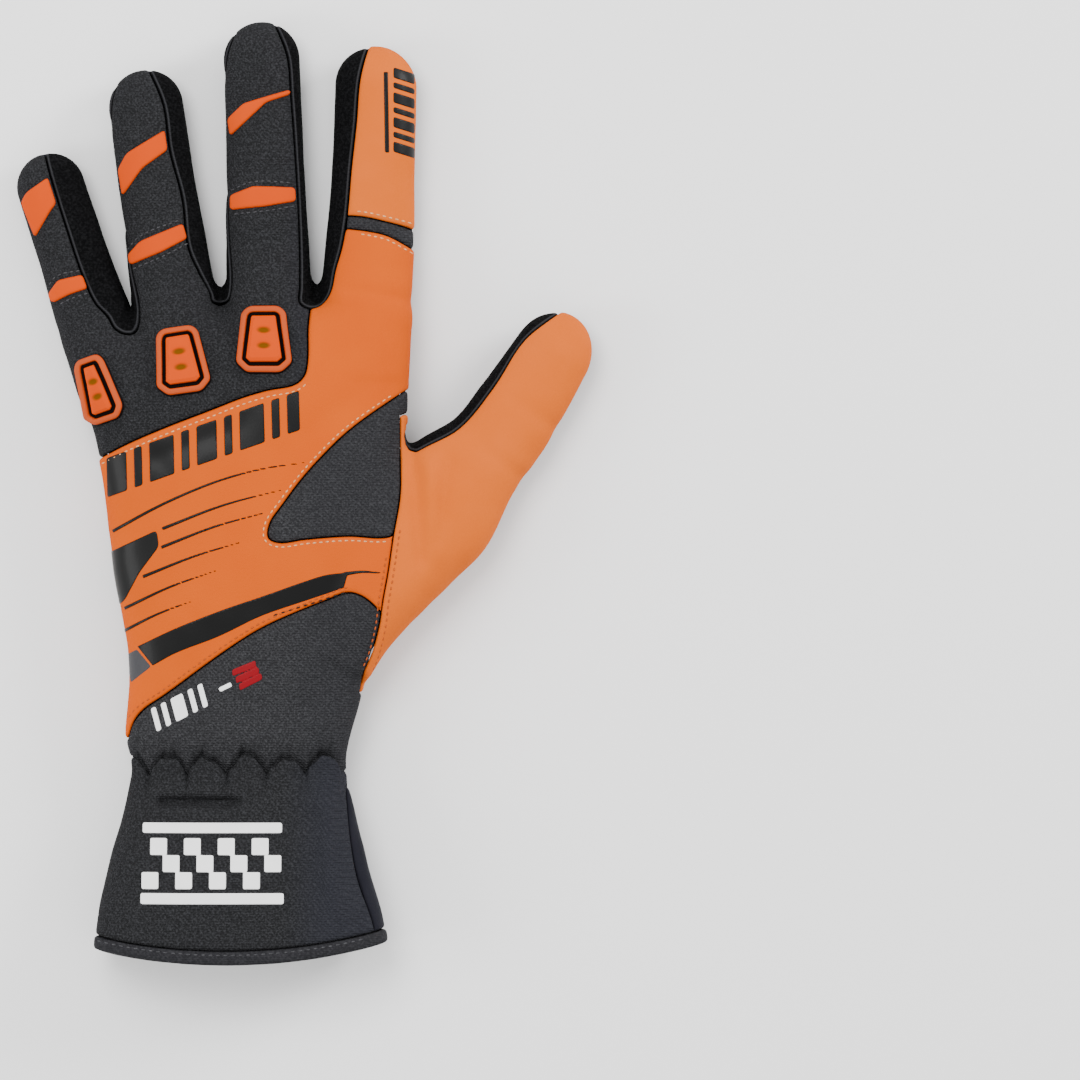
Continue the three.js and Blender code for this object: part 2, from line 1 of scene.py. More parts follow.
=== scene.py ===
import math
import bpy
import numpy as np
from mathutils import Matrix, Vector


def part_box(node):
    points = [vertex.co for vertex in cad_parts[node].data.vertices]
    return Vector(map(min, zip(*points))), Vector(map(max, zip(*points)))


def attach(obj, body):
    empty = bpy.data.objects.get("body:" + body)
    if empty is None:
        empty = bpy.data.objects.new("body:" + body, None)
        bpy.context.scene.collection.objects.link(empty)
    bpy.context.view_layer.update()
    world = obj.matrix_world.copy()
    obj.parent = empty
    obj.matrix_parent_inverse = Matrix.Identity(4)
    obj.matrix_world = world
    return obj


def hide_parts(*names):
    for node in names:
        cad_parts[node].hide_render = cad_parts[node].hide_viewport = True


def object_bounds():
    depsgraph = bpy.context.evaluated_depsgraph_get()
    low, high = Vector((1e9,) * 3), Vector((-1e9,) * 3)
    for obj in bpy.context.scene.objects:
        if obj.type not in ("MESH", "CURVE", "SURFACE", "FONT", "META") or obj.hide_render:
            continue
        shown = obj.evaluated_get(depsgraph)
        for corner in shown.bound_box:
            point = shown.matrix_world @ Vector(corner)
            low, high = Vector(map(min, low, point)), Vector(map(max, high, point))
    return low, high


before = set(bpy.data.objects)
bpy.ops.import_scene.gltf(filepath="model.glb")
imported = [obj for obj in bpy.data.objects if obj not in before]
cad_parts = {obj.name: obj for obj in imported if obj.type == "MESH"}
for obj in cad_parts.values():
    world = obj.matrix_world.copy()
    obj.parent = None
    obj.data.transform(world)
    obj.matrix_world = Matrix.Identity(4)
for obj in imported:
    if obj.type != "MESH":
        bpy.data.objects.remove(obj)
frame_low, frame_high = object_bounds()

# Stage: a plain pale floor, a broad soft light above and two weaker ones beside the glove, and the
# camera straight above it, far enough off that fingertips and cuff show at nearly one scale.
photo_middle = (0.0727, -0.0152)
photo_breadth = 0.3323
camera_height = 3.0
middle_height = 0.02
sensor_width = 36.0
floor_reach = 2.5

floor_mesh = bpy.data.meshes.new("studio_floor")
floor_corners = [(x * floor_reach, y * floor_reach, frame_low.z)
                 for x, y in ((-1, -1), (1, -1), (1, 1), (-1, 1))]
floor_mesh.from_pydata(floor_corners, [], [(0, 1, 2, 3)])
floor = bpy.data.objects.new("studio_floor", floor_mesh)
bpy.context.scene.collection.objects.link(floor)
floor_paint = bpy.data.materials.new("pale_floor")
floor_paint.use_nodes = True
floor_shader = floor_paint.node_tree.nodes["Principled BSDF"]
floor_shader.inputs["Base Color"].default_value = (0.93, 0.93, 0.93, 1)
floor_shader.inputs["Roughness"].default_value = 0.9
floor_mesh.materials.append(floor_paint)

camera_lens = bpy.data.cameras.new("photo_camera")
camera_lens.sensor_width = sensor_width
camera_lens.lens = sensor_width * (camera_height - middle_height) / photo_breadth
camera_lens.clip_end = 2 * camera_height
camera = bpy.data.objects.new("photo_camera", camera_lens)
camera.location = (*photo_middle, camera_height)
bpy.context.scene.collection.objects.link(camera)
bpy.context.scene.camera = camera

# Place, size in metres, and power in watts of each soft light; all of them face the glove.
soft_lights = [
    {"name": "light_above", "place": (-0.35, 0.5, 1.3), "size": 0.7, "power": 17},
    {"name": "light_left", "place": (-1.2, -0.2, 0.7), "size": 0.5, "power": 9},
    {"name": "light_right", "place": (1.1, 0.6, 0.6), "size": 0.5, "power": 16},
]
for light in soft_lights:
    lamp = bpy.data.lights.new(light["name"], "AREA")
    lamp.size = light["size"]
    lamp.energy = light["power"]
    lamp_object = bpy.data.objects.new(light["name"], lamp)
    lamp_object.location = light["place"]
    lamp_object.rotation_euler = lamp_object.location.to_track_quat("Z", "Y").to_euler()
    bpy.context.scene.collection.objects.link(lamp_object)
room = bpy.data.worlds.new("pale_room")
room.use_nodes = True
room.node_tree.nodes["Background"].inputs["Color"].default_value = (1, 1, 1, 1)
room.node_tree.nodes["Background"].inputs["Strength"].default_value = 1.15
bpy.context.scene.world = room

# The shape of the glove: a hand, five digits and a cuff, padded and joined in soft hollows, flat where
# the palm lies. It isn't a piece: every panel is cut out of this one skin. Lengths are millimetres,
# with x across the hand and y up from the elastic at the wrist.
hand_breadth = 100
hand_reach = 100
hand_depth = 30
cuff_length = 61.5
cuff_breadth = 90
cuff_depth = 34
wall = 1.8
palm_height = 1.1
rest_sink = 0.055
digit_squareness = 2.3
body_squareness = 2.8
tip_round = 0.5
crotch_round = 0.8
root_round = 5
edge_round = 3
elastic_draw = 0.5
elastic_reach = 7

# A digit's root in shares of the hand, its lean from +y in degrees, and its sizes. Bow is how far the
# middle of its length stands to the thumb's side.
digits = {
    "little": {"root": (-0.58, 1.14), "lean": -18, "length": 77.8, "width": 21, "depth": 16.5, "bow": 0},
    "ring": {"root": (-0.365, 1.17), "lean": -8.5, "length": 98, "width": 23.2, "depth": 17.5, "bow": -0.3},
    "middle": {"root": (-0.106, 1.19), "lean": -1.8, "length": 109.9, "width": 23.4, "depth": 18, "bow": 0},
    "index": {"root": (0.172, 1.21), "lean": 2.6, "length": 100.2, "width": 24.8, "depth": 17.5, "bow": 0.7},
    "thumb": {"root": (0.16, 0.31), "lean": 31.7, "length": 125.6, "width": 27.7, "depth": 20, "bow": 0},
}
# Along is a share of the length below the round tip; left and right are shares of the width; depth
# and lift are shares of the depth.
finger_rows = [
    (0, -0.42, 0.42, 1.1, 0.26), (0.2, -0.54, 0.54, 1.32, 0.04), (0.38, -0.55, 0.55, 1.14, 0),
    (0.68, -0.51, 0.51, 1, 0), (1, -0.5, 0.5, 0.9, 0),
]
thumb_rows = [
    (0, -0.5, 0.16, 0.9, 0.4), (0.12, -0.69, 0.21, 1.2, 0.2), (0.21, -0.76, 0.29, 1.36, 0.08),
    (0.34, -0.87, 0.42, 1.42, 0), (0.45, -0.92, 0.52, 1.34, 0), (0.62, -0.71, 0.47, 1.12, 0),
    (0.71, -0.52, 0.49, 1.04, 0), (0.83, -0.455, 0.5, 1, 0), (1, -0.4, 0.46, 0.9, 0),
]
# Along, left, right and depth are shares of the hand's or the cuff's sizes; slant turns a row.
cuff_rows = [
    (-1.12, -0.72, 0.285, 1.02), (-0.85, -0.718, 0.275, 1), (-0.48, -0.668, 0.212, 0.9),
    (-0.28, -0.63, 0.18, 0.81), (-0.11, -0.607, 0.148, 0.75),
]
hand_rows = [
    (0, -0.542, 0.128, 0.82, 0), (0.07, -0.552, 0.134, 0.86, 0), (0.18, -0.545, 0.165, 0.88, 0),
    (0.3, -0.542, 0.19, 0.92, 0), (0.6, -0.588, 0.28, 1, 0), (1.03, -0.65, 0.31, 0.99, 0.02),
    (1.16, -0.692, 0.313, 0.96, 0.06), (1.27, -0.7, 0.314, 0.87, 0.1), (1.34, -0.68, 0.3, 0.75, 0.12),
    (1.385, -0.62, 0.25, 0.6, 0.11), (1.42, -0.5, 0.13, 0.42, 0.06),
]
body_rows = np.array(
    [(a * cuff_length, l * cuff_breadth, r * cuff_breadth, d * cuff_depth, 0) for a, l, r, d in cuff_rows]
    + [(a * hand_reach, l * hand_breadth, r * hand_breadth, d * hand_depth, s) for a, l, r, d, s in hand_rows]
)


def through(places, values, at):
    """A smooth curve through pairs of place and value: a cubic between each two, whose slope at a pair
    is the mean of the slopes on its two sides. Past its ends it keeps the end value."""
    places = np.asarray(places, float)
    values = np.asarray(values, float)
    steps = np.diff(values) / np.diff(places)
    slopes = np.concatenate([steps[:1], (steps[:-1] + steps[1:]) / 2, steps[-1:]])
    at = np.clip(at, places[0], places[-1])
    span = np.clip(np.searchsorted(places, at, side="right") - 1, 0, len(places) - 2)
    length = places[span + 1] - places[span]
    t = (at - places[span]) / length
    start = (1 + 2 * t) * (1 - t) ** 2 * values[span] + t * (1 - t) ** 2 * length * slopes[span]
    end = t * t * (3 - 2 * t) * values[span + 1] + t * t * (t - 1) * length * slopes[span + 1]
    return start + end


def round_distance(u, w, past, a, b, cap, power):
    """Near enough the distance from a superellipse of half sizes a and b that half an ellipsoid of
    length cap closes: r - 1 over the steepness of r, with r the root of
    (|u|^power + |w|^power)^(2/power) + past^2."""
    u = np.abs(u) + 1e-6
    w = np.abs(w) + 1e-6
    ring = (u ** power + w ** power) ** (1 / power)
    r = np.hypot(ring, past)
    steep = np.hypot(u ** (power - 1) / a, w ** (power - 1) / b) / ring ** (power - 1)
    return (r - 1) * r / np.hypot(ring * steep, past / cap)


def digit_distance(name, x, y, z):
    """Distance outside a digit: its section at a place along it is a superellipse lying on the palm's
    plane, and half an ellipsoid rounds its tip and its hidden root."""
    digit = digits[name]
    rows = np.array(thumb_rows if name == "thumb" else finger_rows)
    lean = math.radians(digit["lean"])
    east = x - digit["root"][0] * hand_breadth
    north = y - digit["root"][1] * hand_reach
    reach = east * math.sin(lean) + north * math.cos(lean)
    bowed = digit["bow"] * np.sin(math.pi * np.clip(reach / digit["length"], 0, 1))
    side = east * math.cos(lean) - north * math.sin(lean) - bowed
    tip = tip_round * digit["width"]
    straight = digit["length"] - tip
    along = reach / straight
    left = through(rows[:, 0], rows[:, 1], along) * digit["width"]
    right = through(rows[:, 0], rows[:, 2], along) * digit["width"]
    depth = through(rows[:, 0], rows[:, 3], along) * digit["depth"]
    lift = through(rows[:, 0], rows[:, 4], along) * digit["depth"]
    half = (right - left) / 2
    u = (side - (left + right) / 2) / half
    w = (z - palm_height - lift - depth * (0.5 - rest_sink)) / (depth / 2)
    past = np.clip((reach - straight) / tip, 0, None) + np.clip(-reach / root_round, 0, None)
    return round_distance(u, w, past, half, depth / 2, tip, digit_squareness)


def body_place(x, y):
    """For plan places, the row of the body that runs through them, and the share of its half width."""
    along = y
    for _ in range(2):
        middle = (through(body_rows[:, 0], body_rows[:, 1], along)
                  + through(body_rows[:, 0], body_rows[:, 2], along)) / 2
        along = y - through(body_rows[:, 0], body_rows[:, 4], along) * (x - middle)
    left = through(body_rows[:, 0], body_rows[:, 1], along)
    right = through(body_rows[:, 0], body_rows[:, 2], along)
    return along, (x - (left + right) / 2) / ((right - left) / 2), (right - left) / 2


def body_distance(x, y, z):
    """Distance outside the hand and the cuff: superellipses along y, drawn in a little by the elastic
    at the wrist."""
    along, u, half = body_place(x, y)
    depth = through(body_rows[:, 0], body_rows[:, 3], along)
    w = (z - palm_height - depth * (0.5 - rest_sink)) / (depth / 2)
    past = np.clip((along - body_rows[-1, 0]) / root_round, 0, None)
    near = np.exp(-(along / elastic_reach) ** 2)
    return round_distance(u, w, past, half, depth / 2, root_round, body_squareness) + elastic_draw * near


def joined(one, other, reach):
    """The smaller of two distances, blended where they differ by less than reach: a soft hollow."""
    mix = np.clip(0.5 + (other - one) / (2 * reach), 0, 1)
    return other + (one - other) * mix - reach * mix * (1 - mix)


# Creases and soft ridges in the leather and the knit: ends in plan, height (below 0 for a crease) and
# half width. Each is whole over the middle of its line and fades out towards both ends.
wave_height = 0.22
ripple_height = 0.1
whole_part = 0.3
crease_foot = 5
crease_rise = 8
crease_rows = [
    (-50.0, -11.6, -15.6, -11.8, -3.3, 1.4), (-48, -14.8, -12, -15.2, 0.9, 2.6),
    (7, -8, 10, -52, 1.2, 3.0), (2, -10, 4, -44, -1.0, 2.6), (13.5, -12, 17, -44, -0.9, 2.4),
    (-30, -20, -44, -50, 0.4, 6), (-12, -24, -10, -52, -0.4, 6),
    (33, 98, 36, 56, -1.3, 2.2), (38, 96, 42, 60, 1.2, 2.5), (45, 98, 40, 62, -1.0, 2.4),
    (-2, 14, 12, 34, -0.8, 3.2), (-12, 6, -6, 26, 0.6, 3.6), (-34, 10, -24, 30, 0.5, 4.2),
    (-46, 14, -40, 26, -0.5, 3.4), (5, 42, 16, 30, -0.5, 3.0),
    (-50, 92, -20, 104, -0.4, 3.5), (0, 100, 14, 112, -0.4, 4.0),
    (12, 146, 30, 143, -0.7, 2.2), (14, 166, 30, 164, -0.5, 2.2), (-22, 160, -6, 161, -0.6, 2.2),
    (-50, 146, -36, 150, -0.6, 2.2), (-74, 134, -62, 139, -0.6, 2.2),
    (-22, 182, -4, 184, -0.5, 2.2), (-54, 166, -42, 170, -0.5, 2.2),
    (56, 96, 70, 86, -0.6, 2.8), (64, 112, 82, 100, -0.5, 2.8),
]


def crease_height(x, y):
    """Height of the creases at plan places: for each line, its height times a bell over the distance
    from it, and long low waves from crossed sines that keep the skin from looking machined."""
    total = wave_height * np.sin(x / 8.5 + 1.7 * np.sin(y / 17)) * np.sin(y / 11 + 1.3 * np.sin(x / 13))
    ripple = ripple_height * np.sin(x / 3.1 + 2 * np.sin(y / 7.3))
    total = total + ripple * np.sin(y / 4.3 + 1.5 * np.sin(x / 6.1))
    for x0, y0, x1, y1, height, width in crease_rows:
        run = np.hypot(x1 - x0, y1 - y0)
        along = ((x - x0) * (x1 - x0) + (y - y0) * (y1 - y0)) / run ** 2
        off = ((x - x0) * (y1 - y0) - (y - y0) * (x1 - x0)) / run
        past = np.clip(np.abs(along - 0.5) - whole_part, 0, None) * run
        total = total + height * np.exp(-(off / width) ** 2 - (past / (2 * width)) ** 2)
    return total


def glove_distance(points):
    """Distance outside the glove's skin: the digits joined with narrow hollows, then the body with
    wide ones, raised by the creases on the back and cut flat at the palm's plane."""
    x, y, z = points[..., 0], points[..., 1], points[..., 2]
    fingers = digit_distance("little", x, y, z)
    for name in ("ring", "middle", "index"):
        fingers = joined(fingers, digit_distance(name, x, y, z), crotch_round)
    form = joined(fingers, digit_distance("thumb", x, y, z), 2 * edge_round)
    form = joined(form, body_distance(x, y, z), root_round)
    high = np.clip((z - crease_foot) / crease_rise, 0, 1)
    form = form - high * crease_height(x, y)
    return -joined(-form, z - palm_height, edge_round)


least_square = 0.05
longest_move = 1.5


def steepness(points, step=0.05):
    """The direction in which the distance grows, from differences over a small step both ways."""
    slope = np.empty_like(points)
    for axis in range(3):
        shift = np.zeros(3)
        shift[axis] = step
        slope[:, axis] = (glove_distance(points + shift) - glove_distance(points - shift)) / (2 * step)
    return slope


def settled(points, rounds=3):
    """Points moved onto the skin by Newton's steps, and the skin's outward directions there."""
    points = points.copy()
    for _ in range(rounds):
        slope = steepness(points)
        square = np.maximum((slope ** 2).sum(1), least_square)
        move = glove_distance(points) / square
        points -= slope * np.clip(move, -longest_move, longest_move)[:, None]
    slope = steepness(points)
    return points, slope / np.linalg.norm(slope, axis=1, keepdims=True)


def skin_net(values, low, pitch):
    """Surface nets over a grid of distances: each cell that the skin crosses gets one point, the mean
    of the crossings on its edges, and each crossed edge gets a four-sided face of the cells round it."""
    shape = np.array(values.shape)
    total = np.zeros((shape.prod(), 3))
    count = np.zeros(shape.prod())
    quads = []
    for axis in range(3):
        second, third = (axis + 1) % 3, (axis + 2) % 3
        start = [slice(1, -1)] * 3
        start[axis] = slice(0, -1)
        end = list(start)
        end[axis] = slice(1, None)
        here, there = values[tuple(start)], values[tuple(end)]
        crossed = (here < 0) != (there < 0)
        place = np.argwhere(crossed)
        place[:, second] += 1
        place[:, third] += 1
        here, there = here[crossed], there[crossed]
        crossing = place.astype(float)
        crossing[:, axis] += here / (here - there)
        round_edge = []
        for back_second, back_third in ((1, 1), (0, 1), (0, 0), (1, 0)):
            cell = place.copy()
            cell[:, second] -= back_second
            cell[:, third] -= back_third
            cell = np.ravel_multi_index(cell.T, shape)
            round_edge.append(cell)
            count += np.bincount(cell, minlength=len(count))
            for column in range(3):
                total[:, column] += np.bincount(cell, crossing[:, column], len(count))
        quad = np.stack(round_edge, 1)
        quads.append(np.where((here < 0)[:, None], quad, quad[:, ::-1]))
    used = np.flatnonzero(count)
    new_place = np.zeros(len(count), int)
    new_place[used] = np.arange(len(used))
    points = low + pitch * total[used] / count[used, None]
    return points, new_place[np.concatenate(quads)]


def evened(points, quads, rounds):
    """Each point moved half way to the mean of its neighbours, along the skin, then settled again."""
    ends = np.concatenate([quads[:, [k, (k + 1) % 4]] for k in range(4)])
    for _ in range(rounds):
        around = [np.bincount(ends[:, 0], points[ends[:, 1], column], len(points)) for column in range(3)]
        around = np.stack(around, 1)
        around /= np.maximum(np.bincount(ends[:, 0], minlength=len(points)), 1)[:, None]
        move = (around - points) / 2
        slope = steepness(points)
        slope /= np.linalg.norm(slope, axis=1, keepdims=True)
        move -= slope * (move * slope).sum(1, keepdims=True)
        points = settled(points + move, 1)[0]
    return points


skin_pitch = 0.95
net_low = np.array([-93, -67, -2.0])
net_high = np.array([94, 232, 41])
slab = 20
steps = [np.arange(a, b, skin_pitch) for a, b in zip(net_low, net_high)]
grid = np.stack(np.meshgrid(*steps, indexing="ij"), -1)
distances = np.concatenate([glove_distance(grid[i:i + slab]) for i in range(0, len(steps[0]), slab)])
skin_points, skin_quads = skin_net(distances, net_low, skin_pitch)
skin_points = settled(skin_points, 2)[0]
skin_points = evened(skin_points, skin_quads, 3)
skin_points, skin_normals = settled(skin_points, 2)
corner = skin_points[skin_quads]
short_way = (np.linalg.norm(corner[:, 0] - corner[:, 2], axis=1)
             < np.linalg.norm(corner[:, 1] - corner[:, 3], axis=1))[:, None]
skin_faces = np.concatenate([
    np.where(short_way, skin_quads[:, [0, 1, 2]], skin_quads[:, [0, 1, 3]]),
    np.where(short_way, skin_quads[:, [0, 2, 3]], skin_quads[:, [1, 2, 3]]),
])

# Cutting out: every panel is the skin inside a border, a distance along the skin that is below 0 on
# the panel. Its edge is rolled in where it is sewn, and a wall of leather or knit is left under it.
seam_gap = 0.3
seam_height = 7.5
snap_share = 0.18
steepest = 0.15
chunk_size = 20000
most_round = 0.85
least_side = 0.1
edge_levels = (0, -0.3, -0.75, -1.4)
edge_drop = (-0.85, -0.34, -0.09, 0)
# Where the painted light from the thumb's side begins, and how far across it grows to its full share.
painted_light_start = -8
painted_light_reach = 16
pad_place = (-12.5, 130.4)
half_in_millimetres = 500
pad_reach = [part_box("middle_knuckle_pad")[0].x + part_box("middle_knuckle_pad")[1].x,
             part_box("middle_knuckle_pad")[0].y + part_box("middle_knuckle_pad")[1].y]
gather = np.array([reach * half_in_millimetres - place for reach, place in zip(pad_reach, pad_place)] + [0])


def smooth_line(points, spans=6):
    """A line through plan points: through() over the length of the straight way between them."""
    points = np.array(points, float)
    run = np.concatenate([[0], np.cumsum(np.linalg.norm(np.diff(points, axis=0), axis=1))])
    steps = [np.linspace(a, b, spans, endpoint=False) for a, b in zip(run[:-1], run[1:])]
    at = np.concatenate(steps + [run[-1:]])
    return np.stack([through(run, points[:, 0], at), through(run, points[:, 1], at)], 1)


def on_hand(rows):
    """Plan points in millimetres from shares of the hand."""
    return np.array(rows, float) * (hand_breadth, hand_reach)


def on_digit(name, rows):
    """Plan points from rows of a share of the digit's length and a share of its half width."""
    digit = digits[name]
    table = np.array(thumb_rows if name == "thumb" else finger_rows)
    tip = tip_round * digit["width"]
    straight = digit["length"] - tip
    rows = np.array(rows, float)
    reach = rows[:, 0] * digit["length"]
    left = through(table[:, 0], table[:, 1], reach / straight) * digit["width"]
    right = through(table[:, 0], table[:, 2], reach / straight) * digit["width"]
    past = np.clip((reach - straight) / tip, 0, most_round)
    half = (right - left) / 2 * np.sqrt(1 - past ** 2)
    side = (left + right) / 2 + rows[:, 1] * half
    side += digit["bow"] * np.sin(math.pi * np.clip(reach / digit["length"], 0, 1))
    lean = math.radians(digit["lean"])
    root = np.array(digit["root"]) * (hand_breadth, hand_reach)
    return np.stack([root[0] + reach * math.sin(lean) + side * math.cos(lean),
                     root[1] + reach * math.cos(lean) - side * math.sin(lean)], 1)


def plan_distance(outline, places):
    """Distance in plan from a closed outline, below 0 inside, and the direction away from its nearest
    point. Inside is where a line to the right crosses the outline an odd number of times."""
    start, end = outline, np.roll(outline, -1, axis=0)
    side = end - start
    square = np.maximum((side ** 2).sum(1), 1e-9)
    rise = np.where(side[:, 1] == 0, 1e-9, side[:, 1])
    far = []
    toward = []
    for chunk in np.array_split(places, len(places) // chunk_size + 1):
        off = chunk[:, None] - start
        share = np.clip((off * side).sum(2) / square, 0, 1)
        away = off - share[..., None] * side
        reach = (away ** 2).sum(2)
        nearest = reach.argmin(1)
        row = np.arange(len(chunk))
        reach = np.sqrt(reach[row, nearest])
        crossed = (start[:, 1] > chunk[:, 1:]) != (end[:, 1] > chunk[:, 1:])
        crossed &= off[..., 0] < off[..., 1] * side[:, 0] / rise
        far.append(np.where(crossed.sum(1) % 2 == 1, -reach, reach))
        toward.append(away[row, nearest] / np.maximum(reach, 1e-6)[:, None])
    return np.concatenate(far), np.concatenate(toward)


def along_skin(outline, points, normals):
    """Distance from an outline along the skin: its distance in plan over the cosine of the skin's slope
    in that direction."""
    far, toward = plan_distance(outline, points[:, :2])
    slope = (toward * normals[:, :2]).sum(1)
    return far / np.sqrt(np.maximum(1 - slope ** 2, steepest))


def new_ids(pairs, count):
    """One number for each different pair of points, and the pairs in that order."""
    low, high = pairs.min(-1), pairs.max(-1)
    keys, place = np.unique(low * count + high, return_inverse=True)
    return place.reshape(low.shape), np.stack([keys // count, keys % count], 1)


def cut_at(points, faces, level):
    """Triangles divided along the line where column 3 of their points has a level. Points that lie
    close to it are first slid onto it, so no slivers are left."""
    points = points.copy()
    over = points[:, 3] - level
    edges = new_ids(faces[:, [[0, 1], [1, 2], [2, 0]]], len(points))[1]
    edges = edges[over[edges[:, 0]] * over[edges[:, 1]] < 0]
    share = over[edges[:, 0]] / (over[edges[:, 0]] - over[edges[:, 1]])
    crossing = points[edges[:, 0]] + share[:, None] * (points[edges[:, 1]] - points[edges[:, 0]])
    for column, near in ((0, share < snap_share), (1, share > 1 - snap_share)):
        points[edges[near, column]] = crossing[near]
        over[edges[near, column]] = 0
    sides = np.sign(over)[faces]
    crossed = (sides.max(1) > 0) & (sides.min(1) < 0)
    cut, sides = faces[crossed], sides[crossed]
    on_line = sides.sum(1) == 0
    lone = (sides == -sides.sum(1, keepdims=True)).argmax(1)
    first = np.where(on_line, (sides == 0).argmax(1), lone)
    cut = np.take_along_axis(cut, (first[:, None] + [0, 1, 2]) % 3, 1)
    alone = cut[~on_line]
    touching = cut[on_line]
    pairs = np.concatenate([alone[:, [0, 1]], alone[:, [0, 2]], touching[:, [1, 2]]])
    place, ends = new_ids(pairs, len(points))
    share = over[ends[:, 0]] / (over[ends[:, 0]] - over[ends[:, 1]])
    added = points[ends[:, 0]] + share[:, None] * (points[ends[:, 1]] - points[ends[:, 0]])
    place = place + len(points)
    one, two, three = np.split(place, [len(alone), 2 * len(alone)])
    faces = np.concatenate([
        faces[~crossed],
        np.stack([alone[:, 0], one, two], 1),
        np.stack([one, alone[:, 1], alone[:, 2]], 1),
        np.stack([one, alone[:, 2], two], 1),
        np.stack([touching[:, 0], touching[:, 1], three], 1),
        np.stack([touching[:, 0], three, touching[:, 2]], 1),
    ])
    return np.concatenate([points, added]), faces


def halved(points, faces):
    """Each triangle divided into four at the middles of its edges."""
    place, ends = new_ids(faces[:, [[0, 1], [1, 2], [2, 0]]], len(points))
    middle = place + len(points)
    points = np.concatenate([points, (points[ends[:, 0]] + points[ends[:, 1]]) / 2])
    corners = [np.stack([faces[:, k], middle[:, k], middle[:, k - 1]], 1) for k in range(3)]
    return points, np.concatenate(corners + [middle])


def used_only(points, faces):
    """Points that the faces use, with the faces numbered to match."""
    used, place = np.unique(faces, return_inverse=True)
    return points[used], place.reshape(faces.shape)


def cut_out(points, faces, levels):
    """The part of a mesh where column 3 is below the first level, with lines along the others."""
    for level in levels:
        points, faces = cut_at(points, faces, level)
    keep = points[faces, 3].mean(1) < levels[0]
    return used_only(points, faces[keep])


def new_piece(name, points, faces, finish, nodes=(), backing=None, attributes=None):
    """A piece of the glove from points in millimetres: shaded smooth, riding on the glove's body, with
    a wall of its own under it where backing gives one."""
    mesh = bpy.data.meshes.new(name)
    mesh.from_pydata((points[:, :3] + gather) / 1000, [], faces.tolist())
    mesh.polygons.foreach_set("use_smooth", np.ones(len(mesh.polygons), bool))
    for title, values in (attributes or {}).items():
        mesh.attributes.new(title, "FLOAT", "POINT").data.foreach_set("value", values.astype(np.float32))
    mesh.materials.append(finish)
    piece = bpy.data.objects.new(name, mesh)
    bpy.context.scene.collection.objects.link(piece)
    if backing:
        solid = piece.modifiers.new("wall", "SOLIDIFY")
        solid.thickness = backing / 1000
        solid.offset = -1
    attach(piece, "root")
    if nodes:
        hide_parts(*nodes)
    return piece


def sewn_panel(node, border, finish, raised=0.0, thickness=wall, drop=1.0, folds=0.0):
    """A panel: the skin inside a border, raised a little where it overlaps its neighbours and by its
    own folds, its edge rolled in over edge_levels by edge_drop."""
    inside = (border[skin_faces] < 0).any(1)
    rows = np.column_stack([skin_points, border, border * 0 + folds])
    rows, faces = used_only(rows, skin_faces[inside])
    rows, faces = cut_out(rows, faces, edge_levels)
    points, normals = settled(rows[:, :3], 1)
    height = raised + rows[:, 4] + drop * np.interp(rows[:, 3], edge_levels[::-1], edge_drop[::-1])
    points = points + normals * height[:, None]
    # Painted light: east grows towards the thumb's side, and the knits paint a bluer tint by it for the light
    # that falls from there.
    east = np.clip((points[:, 0] - painted_light_start) / painted_light_reach, 0, 1)
    attributes = {"inset": -rows[:, 3], "east": east * east * (3 - 2 * east)}
    return new_piece("sewn_" + node, points, faces, finish, [node], thickness, attributes)


steep_side = np.sqrt(np.maximum(1 - skin_normals[:, 2] ** 2, least_side))
above_seam = (seam_height + seam_gap / 2 - skin_points[:, 2]) / steep_side
below_seam = (skin_points[:, 2] - seam_height + seam_gap / 2) / steep_side

# The elastic at the wrist: the seam over it is drawn into scallops, with the cuff puffed up under each
# and pinched between them, and the wrist's knit tucked in behind.
scallop_pitch = 12.3
scallop_at = -5.7
scallop_foot = -2.9
scallop_rise = 5.1
scallop_slope = 1.3
scallop_change = 0.16
scallop_fullness = 0.8
bump_height = 0.28
wrinkle_height = 0.35
puff_height = 1.1
puff_reach = 6
pinch_depth = 1.6
pinch_reach = 8
tuck_depth = 2.3
tuck_edge = 0.55
tuck_start = 0.3
hollow_reach = 3
ridge_depth = 0.6
ridge_reach = 9
tucked_under = 3.5
back_gain = 1.6
back_start = 0.1


def scallop(x):
    """1 at the top of each scallop and 0 between two: the size of a cosine across the wrist."""
    return np.abs(np.cos(math.pi * (x - scallop_at) / scallop_pitch))


scallops = scallop(skin_points[:, 0])
across, along = skin_points[:, 0], skin_points[:, 1]
rise = scallop_rise * (1 + scallop_change * np.sin(0.31 * across + 0.5)) * scallops ** scallop_fullness
bumps = bump_height * (np.sin(1.53 * across) + np.sin(0.97 * across + 1))
past_gather = along - scallop_foot - rise - bumps
on_back = np.clip(back_gain * skin_normals[:, 2] - back_start, 0, 1)


def fading(reach):
    """A bell over the distance from the gather's seam."""
    return np.exp(-(past_gather / reach) ** 2)


wrinkles = wrinkle_height * np.sin(2.1 * across + 1.2 * np.sin(0.5 * along)) * fading(puff_reach)
pinches = pinch_depth * (1 - scallops) ** 2 * fading(pinch_reach)
cuff_folds = puff_height * scallops * fading(puff_reach) - pinches
cuff_folds = (cuff_folds + wrinkles) * on_back
wrist_folds = -tuck_depth / (1 + np.exp((past_gather - tuck_start) / tuck_edge)) - fading(hollow_reach)
wrist_folds += wrinkles - ridge_depth * (1 - scallops) * fading(ridge_reach)
wrist_folds = wrist_folds * on_back - ridge_depth * (1 - on_back) * (past_gather < 0.5)
hand_side = seam_gap / 2 - past_gather / scallop_slope


